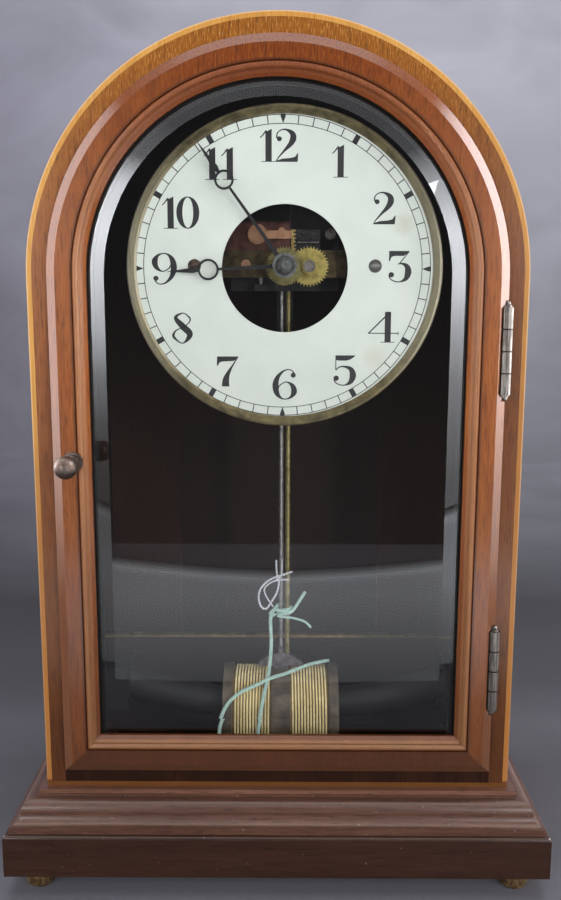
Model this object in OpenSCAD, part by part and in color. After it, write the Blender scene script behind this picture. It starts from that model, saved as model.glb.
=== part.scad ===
// Arched mantel clock driven by an electromagnetic pendulum.
// Millimetres. Z is up and the front faces -Y. Inside clock(), y = 0 is the front face of the
// case, y grows towards the back, x = 0 is the middle of the case and z = 0 is the table top.

/* [Case] */
// Width of the case over its straight sides
case_w = 218; // [190:1:262]
// Height of the case from the plinth to the crown of the arch
case_h = 346; // [288:1:415]
// Depth of the case from front to back
case_d = 145; // [140:1:175]
// Thickness of the case side and arch
wall = 9; // [7.5:0.5:11]
// Height of the rail under the door
rail_h = 9; // [8:0.5:12]
// Width and depth of the light line inlaid round the front edge
stringing = 2.3; // [2:0.1:3.3]
// Width of the strip that the door closes against
stop_w = 6; // [4:0.5:7]
// Thickness of the strip that the door closes against
stop_t = 6; // [4:0.5:8]
// Thickness of the back board
back_t = 8; // [6:0.5:10]
// How far the back board is let into the case wall
back_lap = 4; // [3:0.5:5]

/* [Plinth] */
// Height of a foot
foot_h = 10; // [8:0.5:12]
// Radius of a foot
foot_r = 6.8; // [5.5:0.1:8]
// Distance of a foot's centre from the edges of the slab
foot_in = 12.5; // [10:0.5:15]
// Height of the plinth slab
slab_h = 20; // [16:1:24]
// Height of the moulding between the slab and the cap
moulding_h = 14; // [13.8:0.1:17]
// Height of the cap that the case stands on
cap_h = 2; // [1.5:0.1:4]
// How far the slab stands out from the case at the front and sides
overhang = 17.3; // [16.5:0.1:20.7]
// How far the cap stands out from the case at the front and sides
cap_out = 3.4; // [2.5:0.1:4.5]
// How far the plinth stands out at the back
back_out = 5; // [4:0.5:8]
// Thickness of the board that closes the plinth
board_t = 6; // [4:0.5:8]
// Width of the plinth's wood inside the line of the case
plinth_in = 15; // [13:0.5:17]

/* [Door] */
// Gap between the door and the case
door_gap = 0.5; // [0.4:0.1:1]
// Thickness of the door
door_t = 14; // [12:0.5:16]
// How far the door's face stands out from the case's face
door_proud = 5; // [4:0.5:6]
// Width of the door's moulded frame
frame_w = 16.5; // [15:0.5:19]
// Width of the chamfer round the door's edge
chamfer_w = 3.9; // [3:0.1:4.5]
// Depth of the chamfer at the door's edge
chamfer_h = 2.1; // [1.5:0.1:2.8]
// Thickness of the glass
glass_t = 4; // [3:0.5:5]
// Width of the bevel round the glass
bevel_w = 12; // [10:0.5:14]
// Depth of the bevel at the edge of the glass
bevel_deep = 1.8; // [1:0.1:2.2]
// How far the glass is lapped by the frame
glass_lap = 4.5; // [3.5:0.5:5.5]
// How far the bead behind the glass shows inside the frame
bead_show = 2.6; // [1.5:0.1:3.5]
// Height of the bead along the bottom of the glass
bead_foot = 1.5; // [1.5:0.5:4]
// Angle that the door opens to
door_open = 110; // [90:5:120]

/* [Hinges and knob] */
// Radius of a hinge knuckle
knuckle_r = 2.4; // [2:0.1:2.7]
// Length of a hinge
hinge_l = 38; // [32:1:45]
// Number of knuckles in a hinge
knuckles = 4; // [4, 6]
// Radius of a hinge pin
pin_r = 1; // [0.8:0.1:1.2]
// Height of the upper hinge's middle above the case's bottom
upper_hinge = 206; // [190:1:225]
// Height of the lower hinge's middle above the case's bottom
lower_hinge = 60; // [45:1:80]
// Height of the knob above the case's bottom
knob_up = 157; // [130:1:190]
// Radius of the knob's ball
knob_r = 5; // [4:0.1:6]
// Reach of the knob in front of the door
knob_reach = 19; // [16:0.5:22]

/* [Dial] */
// Offset of the movement to the right of the case's middle
movement_x = 3; // [0:0.5:4]
// Height of the hand centre above the centre of the arch
dial_up = 6; // [0:0.5:8]
// Depth of the dial's face behind the case's face
dial_y = 22; // [21:0.5:24]
// How far the dial hangs below the hand centre
dial_drop = 1.25; // [0:0.25:2]
// Radius of the bezel
bezel_r = 71.5; // [62:0.5:76]
// Width of the bezel's ring
bezel_w = 4.2; // [2.5:0.1:4.5]
// Radius of the hole in the middle of the dial
dial_hole_r = 28.6; // [26:0.2:34]
// Distance of a dial screw from the centre
dial_screw_x = 41; // [38:0.5:46]
// Length of the minute hand
minute_l = 67; // [60:0.5:70]
// Length of the hour hand
hour_l = 53.5; // [44:0.5:58]
// Hour that the hands show
show_hour = 8; // [0:1:11]
// Minute that the hands show
show_minute = 54; // [0:1:59]

/* [Motion work] */
// Distance from the centre arbor to the minute wheel's stud
wheel_gap = 11.2; // [10.5:0.1:12.5]
// Teeth of the cannon pinion
cannon_teeth = 10; // [10]
// Teeth of the minute wheel
minute_teeth = 36; // [36]
// Teeth of the minute pinion
pinion_teeth = 12; // [12]
// Teeth of the hour wheel
hour_teeth = 40; // [40]
// Teeth of the worm wheel
worm_teeth = 40; // [40]
// Module of the worm wheel
worm_module = 0.4; // [0.36:0.01:0.44]
// Radius of the centre arbor
arbor_r = 1.5; // [1.2:0.1:1.7]
// Clearance of a shaft in its bearing
fit = 0.05; // [0.03:0.01:0.08]

/* [Pendulum] */
// Height of the pendulum's pivot above the hand centre
pivot_up = 41; // [39:0.5:44]
// Depth of the pendulum behind the case's face
pendulum_y = 56; // [55:0.5:58]
// Distance from the pivot to the middle of the coil
pendulum_l = 268; // [224:1:272]
// Length of the coil
coil_l = 59.2; // [52:0.2:66]
// Radius of the coil's cheeks
coil_r = 22; // [20:0.5:23]
// Thickness of a cheek
cheek_t = 4.8; // [4:0.2:6.4]
// Width of the band between the two windings
band_w = 9.4; // [8:0.2:12]
// Radius of the hole through the coil
bore_r = 13; // [12:0.5:14]
// Diameter of the covered wire
wire_d = 1.1; // [0.9:0.05:1.2]
// Loops in the outer layer of a winding
loops = 12; // [8:1:12]
// Radius of the steel rod
steel_r = 1.2; // [0.8:0.1:1.3]
// Radius of the brass rod
brass_r = 1.35; // [1.1:0.05:1.5]

/* [Magnet] */
// Radius of the magnet bar
magnet_r = 8; // [6.5:0.5:8.5]
// Half of the magnet's span
magnet_half = 84; // [82:1:86]

/* [Battery] */
// Depth of the board in front of the battery
battery_board_y = 104; // [98:1:106]
// Height of the top of the battery board's edging
battery_board_top = 82.4; // [80:0.2:95]
// Width of the battery
battery_w = 62; // [55:1:74]
// Depth of the battery
battery_d = 22; // [18:0.5:24]
// Height of the battery
battery_h = 54; // [50:1:66]

/* [Hidden] */
$fn = 48;
big = 180;
// Gap round a part that is pressed or screwed into its seat
seat = 0.02;

// Whole object
front_y = (door_proud + knob_reach - case_d - back_out) / 2;
slab_z = foot_h;
moulding_z = slab_z + slab_h;
cap_z = moulding_z + moulding_h;
case_z = cap_z + cap_h;
case_r = case_w / 2;
inner_r = case_r - wall;
arch_z = case_z + case_h - case_r;
back_y = case_d - back_t;

// Door
door_r = inner_r - door_gap;
door_z = case_z + rail_h + door_gap;
door_back = door_t - door_proud;
sight_r = door_r - frame_w;
glass_r = sight_r + glass_lap;
glass_y = door_back - 4 - glass_t;
stop_y = door_back + door_gap;
hinge_x = door_r - 0.3;
hinge_y = -door_proud + 1.5;
hinge_zs = [case_z + upper_hinge, case_z + lower_hinge];
knuckle_gap = 0.2;
knuckle_l = hinge_l / knuckles;
finial_r = 1.7;
finial_l = 2.6;
leaf_t = 0.8;
leaf_end = 8;
knob_x = -(door_r - frame_w / 2 - 0.95);
knob_z = case_z + knob_up;
tongue_y = stop_y + stop_t + 0.8;
tongue_l = inner_r - 1 + knob_x;
spindle_r = 1.5;

// Dial and motion work
dial_z = arch_z + dial_up;
dial_t = 1;
minute_angle = 6 * show_minute;
hour_angle = 30 * (show_hour + show_minute / 60);
minute_y = dial_y - 6.2;
hour_y = dial_y - 4;
hand_t = 0.8;
minute_ring = 45.8;
hour_ring = 34.5;
hour_wheel_y = dial_y + 4;
minute_wheel_y = dial_y + 7;
bar_y = dial_y + 11;
bar_t = 3;
bar_low = -5;
bar_high = 7.5;
plate_y = dial_y + 13;
plate_t = 2;
worm_y = dial_y + 21;
lever_y = dial_y + 23;
rear_y = dial_y + 27;
rear_t = 2.5;
rear_half = 26;
pipe_r = arbor_r + fit + 1.2;
cannon_module = 2 * wheel_gap / (cannon_teeth + minute_teeth);
pinion_module = 2 * wheel_gap / (pinion_teeth + hour_teeth);
stud_r = 1.5;
worm_r = 2.9;
worm_x = -(worm_teeth * worm_module / 2 + 0.8 * worm_module + worm_r + 0.1);
worm_low = -8;
worm_high = 23;
ratchet_z = 16;
ratchet_r = 5;
plate_screw_x = 18;
strip_screw = [-12.7, 14.8];
block_screw = [21.3, 15.1];

// Pendulum
pivot_z = dial_z + pivot_up;
coil_z = pivot_z - pendulum_l;
head_top = 12;
head_bottom = 30;
contact_pin_z = 26;
lever_pivot_z = 8;
steel_x = -1.5;
brass_x = 2;
window = (coil_l - 2 * cheek_t - band_w) / 2;
winding_r = coil_r - 1.45;
rings = 24;
sides = 6;
pitch = (window - wire_d - 0.6) / loops;
lead_in = 1.2;
band_r = coil_r - 0.7;
core_r = (winding_r - wire_d / 2) * cos(180 / rings) - 0.05;
hanger_z = coil_z + coil_r + 0.4;
hanger_h = 7;
nut_h = 4;
nut_r = brass_x - steel_x - brass_r - 0.25;
bracket_z = pivot_z + 6;
bracket_h = 10;
bracket_y = rear_y + rear_t;

// Interior of the plinth and the battery's room
hollow_x = case_r - plinth_in;
hollow_front = stop_y + stop_t + 0.5;
hollow_back = back_y - 4;
floor_z = slab_z + board_t;
edging_h = 1.6;
board_depth = 4;
clamp_in = magnet_half - 4;

// Panel let into the back board
panel_x = 60;
panel_low = case_z + 24;
panel_high = case_z + 154;
panel_lap = 6;
panel_t = 4;
button_z = panel_high + panel_lap + 5;
button_pin_r = 1.5;
back_screw_in = 3;

module clock() translate([0, front_y, 0]) children();

module movement() clock() translate([movement_x, 0, dial_z]) children();

// A flat outline in x and z, made solid between two depths.
module extrude_y(y0, y1) translate([0, y1, 0]) rotate([90, 0, 0])
    linear_extrude(y1 - y0) children();

// A cylinder along y.
module rod_y(x, z, y0, y1, r) translate([x, y0, z]) rotate([-90, 0, 0])
    cylinder(h = y1 - y0, r = r);

// A block between two opposite corners.
module block(low, high) translate(low) cube(high - low);

// Half disc on two straight sides, down to the height bottom.
module arch(r, bottom) {
    translate([0, arch_z]) circle(r, $fn = big);
    translate([-r, bottom]) square([2 * r, arch_z - bottom]);
}

module arch_ring(r_out, r_in, bottom_out, bottom_in) difference() {
    arch(r_out, bottom_out);
    arch(r_in, bottom_in);
}

// The wedge of the x-z plane that a frame's mitred bottom member fills.
module mitre(r_out, bottom)
    polygon([[-r_out - 1, bottom - 1], [r_out + 1, bottom - 1], [0, bottom + r_out]]);

// Sweeps a section round an arched frame. The section's x is the distance from the arch's
// centre, and its y is the height in front of the case's face.
module arched_frame(r_out, bottom) {
    translate([0, 0, arch_z]) rotate([90, 0, 0]) rotate_extrude(angle = 180, $fn = big) children();
    difference() {
        for (side = [0, 1]) mirror([side, 0, 0]) translate([0, 0, bottom])
            linear_extrude(arch_z - bottom) mirror([0, 1]) children();
        extrude_y(-60, 60) mitre(r_out, bottom);
    }
    intersection() {
        translate([-r_out, 0, bottom + r_out]) rotate([0, 90, 0])
            linear_extrude(2 * r_out) mirror([0, 1]) children();
        extrude_y(-60, 60) mitre(r_out, bottom);
    }
}

// Four turned brass feet.
module foot() {
    translate([0, 0, 1.5]) cylinder(h = foot_h - 3, r = foot_r);
    cylinder(h = 1.5, r1 = foot_r - 1.3, r2 = foot_r);
    translate([0, 0, foot_h - 1.5]) cylinder(h = 1.5, r1 = foot_r, r2 = foot_r - 1.5);
}

module feet() clock() color("darkgoldenrod")
    for (x = [-1, 1], y = [-overhang + foot_in, case_d + back_out - foot_in])
        translate([x * (case_r + overhang - foot_in - 1.5), y, 0]) foot();

module plinth_hollow(z0, z1)
    block([-hollow_x, hollow_front, z0], [hollow_x, hollow_back, z1]);

module plinth_board() clock() color("saddlebrown")
    block([-hollow_x - 4, hollow_front - 4, slab_z], [hollow_x + 4, hollow_back + 4, floor_z]);

module plinth_slab() clock() color([0.2, 0.1, 0.07]) difference() {
    slab_x = case_r + overhang;
    union() {
        block([-slab_x, -overhang, slab_z], [slab_x, case_d + back_out, moulding_z - 1.5]);
        block([-slab_x + 1.5, -overhang + 1.5, moulding_z - 1.5],
            [slab_x - 1.5, case_d + back_out - 1.5, moulding_z]);
        for (side = [-1, 1]) translate([side * (slab_x - 1.5), -overhang + 1.5, moulding_z - 1.5])
            rotate([-90, 0, 0]) cylinder(h = case_d + back_out + overhang - 3, r = 1.5);
        for (y = [-overhang + 1.5, case_d + back_out - 1.5])
            translate([-slab_x + 1.5, y, moulding_z - 1.5]) rotate([0, 90, 0])
                cylinder(h = 2 * slab_x - 3, r = 1.5);
        for (side = [-1, 1], y = [-overhang + 1.5, case_d + back_out - 1.5])
            translate([side * (slab_x - 1.5), y, moulding_z - 1.5]) sphere(1.5);
    }
    plinth_hollow(slab_z - 1, moulding_z + 1);
    block([-hollow_x - 4, hollow_front - 4, slab_z - 1], [hollow_x + 4, hollow_back + 4, floor_z]);
}

// Section of the moulding: x is the overhang from the case, y is the height above the slab.
module moulding_section() {
    step = 2.4;
    fillet_h = 3;
    cove_r = 4.4;
    ovolo_r = 4.8;
    neck_h = 12;
    cove = overhang - step - 0.1;
    neck = cove - cove_r;
    ovolo = neck - ovolo_r;
    ovolo_z = fillet_h + 5;
    translate([-plinth_in, 0]) square([plinth_in + overhang - step, fillet_h + 0.1]);
    difference() {
        translate([-plinth_in, fillet_h]) square([plinth_in + cove, cove_r + 0.1]);
        translate([cove, fillet_h + cove_r + 0.1]) circle(cove_r);
    }
    translate([-plinth_in, fillet_h]) square([plinth_in + neck, ovolo_z - fillet_h]);
    translate([ovolo, ovolo_z]) circle(ovolo_r);
    translate([-plinth_in, fillet_h]) square([plinth_in + ovolo, ovolo_z + ovolo_r - fillet_h]);
    translate([-plinth_in, neck_h]) square([plinth_in + cap_out + 0.5, moulding_h - neck_h]);
}

module moulding_side(side) mirror([side, 0, 0]) translate([case_r, 0, moulding_z]) difference() {
    translate([0, case_d + back_out, 0]) rotate([90, 0, 0])
        linear_extrude(case_d + back_out + overhang) moulding_section();
    linear_extrude(3 * moulding_h, center = true)
        polygon([[-case_r, 0], [0, 0], [overhang + 9, -overhang - 9], [-case_r, -overhang - 9]]);
}

module plinth_moulding() clock() color([0.24, 0.12, 0.08]) {
    difference() {
        for (side = [0, 1]) moulding_side(side);
        block([-hollow_x, -overhang, moulding_z - 1], [hollow_x, hollow_front, cap_z + 1]);
    }
    difference() {
        translate([-case_r - overhang, 0, moulding_z]) rotate([90, 0, 90])
            linear_extrude(2 * (case_r + overhang)) mirror([1, 0]) moulding_section();
        for (side = [0, 1]) mirror([side, 0, 0]) translate([case_r, 0, moulding_z])
            linear_extrude(3 * moulding_h, center = true)
                polygon([[0, 0], [overhang + 9, -overhang - 9], [overhang + 9, plinth_in + 9],
                    [0, plinth_in + 9]]);
    }
    block([-case_r, 0, moulding_z], [case_r, hollow_front, cap_z]);
    block([-case_r, hollow_back, moulding_z], [case_r, case_d + back_out, cap_z]);
}

module plinth_cap() clock() color([0.3, 0.15, 0.09]) difference() {
    block([-case_r - cap_out, -cap_out, cap_z], [case_r + cap_out, case_d + back_out - 1.5, case_z]);
    plinth_hollow(cap_z - 1, case_z + 1);
}

module hinge_leaf_cut(x0, x1, y0) for (z = hinge_zs)
    block([x0, y0, z - hinge_l / 2], [x1, leaf_end, z + hinge_l / 2]);

module case_shell() clock() color([0.45, 0.2, 0.1]) difference() {
    extrude_y(0, case_d) arch_ring(case_r, inner_r, case_z, case_z - 1);
    extrude_y(-1, stringing)
        arch_ring(case_r + 1, case_r - stringing, case_z - 1, case_z + stringing);
    extrude_y(back_y, case_d + 1) arch(inner_r + back_lap, case_z - 1);
    hinge_leaf_cut(inner_r - 1, inner_r + leaf_t, -1);
}

module case_bottom_rail() clock() color([0.42, 0.19, 0.1]) difference() {
    block([-inner_r, 0, case_z], [inner_r, hollow_front, case_z + rail_h]);
    block([-case_r, -1, case_z - 1], [case_r, stringing, case_z + stringing]);
}

module front_stringing() clock() color("orange")
    extrude_y(0, stringing) arch_ring(case_r, case_r - stringing, case_z, case_z + stringing);

module door_stop() clock() color([0.1, 0.07, 0.05])
    extrude_y(stop_y, stop_y + stop_t)
        arch_ring(inner_r, inner_r - stop_w, case_z + rail_h, case_z + rail_h + stop_w);

module back_board() clock() color([0.35, 0.18, 0.1]) difference() {
    extrude_y(back_y, case_d) arch(inner_r + back_lap, case_z);
    block([-panel_x, back_y - 1, panel_low], [panel_x, case_d + 1, panel_high]);
    block([-panel_x - panel_lap, case_d - panel_t, panel_low - panel_lap],
        [panel_x + panel_lap, case_d + 1, panel_high + panel_lap]);
    rod_y(0, button_z, back_y - 1, case_d + 1, button_pin_r + fit);
}

// Round-headed screws round the edge of the back board.
module back_screws() clock() color("goldenrod") {
    screw_r = inner_r - back_screw_in;
    for (a = [0 : 45 : 180]) back_screw(screw_r * cos(a), arch_z + screw_r * sin(a));
    for (side = [-1, 1], z = [case_z + 12, (case_z + arch_z) / 2]) back_screw(side * screw_r, z);
}

module back_screw(x, z) rod_y(x, z, case_d, case_d + 1.4, 3);

// Draws straight out at the back.
module rear_panel() clock() color([0.3, 0.15, 0.09])
    block([-panel_x - panel_lap + 0.3, case_d - panel_t, panel_low - panel_lap + 0.3],
        [panel_x + panel_lap - 0.3, case_d, panel_high + panel_lap - 0.3]);

// Lies level at rest, so the panel is free, and turns down over the panel's edge to hold it.
module turn_button() clock() color("goldenrod") {
    rod_y(0, button_z, back_y, case_d + 0.5, button_pin_r);
    translate([0, 0, button_z]) extrude_y(case_d + 0.4, case_d + 2.6) hull() {
        for (x = [-2, 12]) translate([x, 0]) circle(4.5);
    }
}

// Section of the door frame: chamfer outside, a flat, a bead and a slope to the glass.
module door_section() difference() {
    translate([sight_r, -door_back]) square([frame_w, door_t]);
    polygon([[door_r - chamfer_w, door_proud], [door_r + 1, door_proud - chamfer_h
        - chamfer_h / chamfer_w], [door_r + 1, door_proud + 1], [door_r - chamfer_w, door_proud + 1]]);
    polygon([[sight_r - 1, 0.4], [sight_r, 0.6], [sight_r + 2.7, 2.7], [sight_r + 2.7, door_proud + 1],
        [sight_r - 1, door_proud + 1]]);
    difference() {
        translate([sight_r, door_proud - 1]) square([5.6, 2]);
        translate([sight_r + 4.2, door_proud - 1.6]) circle(1.5);
    }
    translate([sight_r - 1, -door_back - 1]) square([glass_lap + 1.3, door_back + 1 - glass_y]);
}

module door_frame() clock() color([0.4, 0.17, 0.09]) difference() {
    arched_frame(door_r, door_z) door_section();
    for (z = hinge_zs) translate([hinge_x, hinge_y, z - hinge_l / 2 - 0.3])
        cylinder(h = hinge_l + 0.6, r = knuckle_r + 0.3);
    for (z = hinge_zs) translate([hinge_x, hinge_y, z - hinge_l / 2 - finial_l - 0.3])
        cylinder(h = hinge_l + 2 * finial_l + 0.6, r = finial_r + 0.3);
    hinge_leaf_cut(door_r - leaf_t, door_r + 1, hinge_y);
    rod_y(knob_x, knob_z, -door_proud - 1, door_back + 1, spindle_r + fit);
}

module bevel_section() polygon([[glass_r - bevel_w, -glass_y + 1], [glass_r - bevel_w, -glass_y],
    [glass_r, -glass_y - bevel_deep], [glass_r + 1, -glass_y - bevel_deep],
    [glass_r + 1, -glass_y + 1]]);

module door_glass() clock() color([0.7, 0.8, 0.85, 0.3]) difference() {
    extrude_y(glass_y, glass_y + glass_t) arch(glass_r, door_z + door_r - glass_r);
    arched_frame(glass_r + 1, door_z + door_r - glass_r - 1) bevel_section();
}

module bead_section() {
    bead_in = sight_r - bead_show;
    polygon([[glass_r, -glass_y - glass_t], [bead_in, -glass_y - glass_t],
        [bead_in, -door_back + 1.5], [bead_in + 1.5, -door_back], [glass_r, -door_back]]);
}

module glass_bead() clock() color([0.05, 0.04, 0.04]) difference() {
    glass_z = door_z + door_r - glass_r;
    arched_frame(glass_r, glass_z) bead_section();
    block([bead_show - sight_r, glass_y, glass_z + bead_foot],
        [sight_r - bead_show, door_back + 1, glass_z + glass_r]);
}

// Knuckles first, first + 2, ... of each hinge, counted from the bottom, with their leaf.
module hinge_leaves(first, x0) clock() color([0.3, 0.26, 0.22]) for (z = hinge_zs)
    translate([0, 0, z - hinge_l / 2]) difference() {
        union() {
            for (k = [first : 2 : knuckles - 1]) {
                translate([hinge_x, hinge_y, k * knuckle_l + knuckle_gap / 2])
                    cylinder(h = knuckle_l - knuckle_gap, r = knuckle_r);
                block([x0, hinge_y, k * knuckle_l + knuckle_gap / 2],
                    [x0 + leaf_t, leaf_end, (k + 1) * knuckle_l - knuckle_gap / 2]);
            }
            block([x0, first == 0 ? 0 : -door_proud + 4.5, 0], [x0 + leaf_t, leaf_end, hinge_l]);
        }
        translate([hinge_x, hinge_y, -1]) cylinder(h = hinge_l + 2, r = pin_r + fit);
    }

module hinge_case_leaves() hinge_leaves(0, inner_r);

module hinge_door_leaves() hinge_leaves(1, door_r - leaf_t);

module hinge_pins() clock() color("dimgray") for (z = hinge_zs) translate([hinge_x, hinge_y, z]) {
    translate([0, 0, -hinge_l / 2]) cylinder(h = hinge_l, r = pin_r);
    for (end = [0, 1]) mirror([0, 0, end]) translate([0, 0, hinge_l / 2]) {
        cylinder(h = 0.8, r = finial_r);
        translate([0, 0, finial_l - 1.2]) sphere(1.2);
    }
}

module knob_rose() clock() color("gray") difference() {
    rod_y(knob_x, knob_z, -door_proud - 1.4, -door_proud, knob_r - 0.4);
    rod_y(knob_x, knob_z, -door_proud - 3, 0, spindle_r + fit);
}

module door_knob() clock() color("darkgray") {
    rod_y(knob_x, knob_z, -door_proud - knob_reach + knob_r, tongue_y, spindle_r);
    rod_y(knob_x, knob_z, -door_proud - knob_reach + knob_r, -door_proud - 1.6, 2.2);
    rod_y(knob_x, knob_z, -door_proud - 3, -door_proud - 1.6, 3.4);
    translate([knob_x, -door_proud - knob_reach + knob_r, knob_z]) sphere(knob_r, $fn = 64);
}

// Hangs down at rest, so the door is free, and turns up behind the stop to lock it.
module latch_tongue() clock() color("goldenrod") extrude_y(tongue_y, tongue_y + 2) {
    translate([knob_x, knob_z]) circle(3);
    translate([knob_x - 2, knob_z - tongue_l + 2]) square([4, tongue_l - 2]);
    translate([knob_x, knob_z - tongue_l + 2]) circle(2);
}

module latch_keeper() clock() color("goldenrod")
    block([-inner_r, stop_y + stop_t, knob_z - 9],
        [-inner_r + stop_w, stop_y + stop_t + 0.5, knob_z + 9]);

module dial_plate() movement() color([0.85, 0.88, 0.84]) difference() {
    rod_y(0, -dial_drop, dial_y, dial_y + dial_t, bezel_r - 1, $fn = big);
    rod_y(0, -dial_drop, dial_y - 1, dial_y + dial_t + 1, dial_hole_r, $fn = big);
    for (side = [-1, 1]) rod_y(side * dial_screw_x, 0, dial_y - 1, dial_y + dial_t + 1, 1.3);
}

module dial_bezel() movement() color([0.6, 0.5, 0.25]) translate([0, dial_y, -dial_drop])
    rotate([90, 0, 0]) rotate_extrude($fn = big)
    polygon([[bezel_r - bezel_w, 0], [bezel_r - bezel_w, 0.8],
        [bezel_r - bezel_w + 1, 1.2], [bezel_r - 1.6, 3.2], [bezel_r - 0.5, 3.2], [bezel_r, 2.6],
        [bezel_r, -2.6], [bezel_r - 0.95, -2.6], [bezel_r - 0.95, 0]]);

module dial_screws() movement() color("sienna") for (side = [-1, 1])
    translate([side * dial_screw_x, 0, 0]) difference() {
        union() {
            rod_y(0, 0, dial_y, dial_y + dial_t + 6, 1.25);
            translate([0, dial_y, 0]) intersection() {
                rod_y(0, 0, -1.6, 0, 3);
                translate([0, 2.2, 0]) sphere(3.8);
            }
        }
        block([-4, dial_y - 2, -0.4], [4, dial_y - 0.8, 0.4]);
    }

// Brass bar across the movement, with a pillar at each end that carries the dial.
module dial_bar() movement() color("goldenrod") difference() {
    union() {
        block([-dial_screw_x - 5, bar_y, bar_low], [dial_screw_x + 5, bar_y + bar_t, bar_high]);
        for (side = [-1, 1]) rod_y(side * dial_screw_x, 0, dial_y + dial_t, bar_y + 1, 3);
    }
    for (side = [-1, 1]) rod_y(side * dial_screw_x, 0, dial_y, bar_y, 1.25 + seat);
    rod_y(0, 0, bar_y - 1, bar_y + bar_t + 1, arbor_r + fit);
    rod_y(wheel_gap, 0, bar_y - 1, bar_y + bar_t + 1, 1.2 + seat);
    for (side = [-1, 1]) rod_y(plate_screw_x * side, 1, bar_y - 1, bar_y + bar_t + 1, 1.2 + seat);
}

// A ring hand: hub, stem, ring and leaf tip. It points up before it is turned.
module hand(length, ring_at, ring_r, ring_w, bore) {
    difference() {
        union() {
            circle(bore + 2.6);
            polygon([[-1, 0], [1, 0], [0.55, ring_at - ring_r + 0.3], [-0.55, ring_at - ring_r + 0.3]]);
            translate([0, ring_at]) circle(ring_r);
            polygon([[-0.7, ring_at + ring_r - 0.4], [0.7, ring_at + ring_r - 0.4],
                [1.2, ring_at + ring_r + 2.2], [0, length], [-1.2, ring_at + ring_r + 2.2]]);
        }
        circle(bore);
        translate([0, ring_at]) circle(ring_r - ring_w);
    }
}

module minute_hand() movement() color("black") extrude_y(minute_y, minute_y + hand_t)
    rotate(-minute_angle) hand(minute_l, minute_ring, 4.3, 1, arbor_r + seat);

module hour_hand() movement() color("black") extrude_y(hour_y, hour_y + hand_t)
    rotate(-hour_angle) hand(hour_l, hour_ring, 4.75, 1, pipe_r + seat);

module hand_nut() movement() color("silver") difference() {
    union() {
        rod_y(0, 0, minute_y - 1.4, minute_y, 5.5);
        translate([0, minute_y - 1.4, 0]) intersection() {
            rod_y(0, 0, -2, 0.1, 4.6);
            translate([0, 3.6, 0]) sphere(5.6, $fn = 64);
        }
    }
    rod_y(0, 0, minute_y - 4, minute_y + 1, arbor_r + seat);
}

// Toothed outline with straight flanks. tip and root are half widths as shares of the pitch.
module gear_outline(teeth, m, add, ded, tip, root, phase) polygon([for (k = [0 : teeth - 1],
    corner = [[-ded, -root], [add, -tip], [add, tip], [-ded, root]])
    let (r = m * (teeth / 2 + corner[0]), a = phase + (k + corner[1]) * 360 / teeth)
    [r * cos(a), r * sin(a)]]);

module pinion_outline(teeth, m, phase) gear_outline(teeth, m, 0.85, 1.2, 0.1, 0.3, phase);

module wheel_outline(teeth, m, phase) gear_outline(teeth, m, 0.95, 1.15, 0.08, 0.3, phase);

// Carries the minute hand, the cannon pinion and the worm wheel.
module minute_arbor() movement() color("silver") {
    rod_y(0, 0, minute_y - 2.6, rear_y + rear_t + 1, arbor_r);
    extrude_y(minute_wheel_y - 0.6, minute_wheel_y + 1.8)
        pinion_outline(cannon_teeth, cannon_module, 0);
}

module worm_wheel() movement() color("goldenrod") extrude_y(worm_y - 1, worm_y + 1) difference() {
    gear_outline(worm_teeth, worm_module, 0.8, 1.1, 0.1, 0.28, 0);
    circle(arbor_r + seat);
    for (a = [45 : 90 : 315]) rotate(a) translate([4.4, 0]) circle(1.6);
}

module hour_wheel() movement() color([0.6, 0.55, 0.25]) difference() {
    union() {
        extrude_y(hour_wheel_y, hour_wheel_y + 1.2)
            wheel_outline(hour_teeth, pinion_module, 180 / hour_teeth);
        rod_y(0, 0, hour_y, hour_wheel_y + 1.2, pipe_r);
    }
    rod_y(0, 0, hour_y - 1, hour_wheel_y + 3, arbor_r + fit);
}

module minute_wheel() movement() color("gold") translate([wheel_gap, 0, 0]) difference() {
    union() {
        extrude_y(minute_wheel_y, minute_wheel_y + 1.2)
            wheel_outline(minute_teeth, cannon_module, 180 + 180 / minute_teeth);
        extrude_y(hour_wheel_y - 0.6, minute_wheel_y + 0.1)
            pinion_outline(pinion_teeth, pinion_module, 180);
        rod_y(0, 0, hour_wheel_y - 1.8, hour_wheel_y - 0.5, 3.5);
    }
    rod_y(0, 0, hour_wheel_y - 3, minute_wheel_y + 3, stud_r + fit);
    rod_y(0, 0, hour_wheel_y - 3, hour_wheel_y - 1, 2.9);
}

module slotted_head(x, z, y, r, t, turn) translate([x, 0, z]) difference() {
    rod_y(0, 0, y - t, y, r);
    rotate([0, turn, 0]) block([-r - 1, y - t - 1, -0.14 * r], [r + 1, y - t / 2, 0.14 * r]);
}

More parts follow.
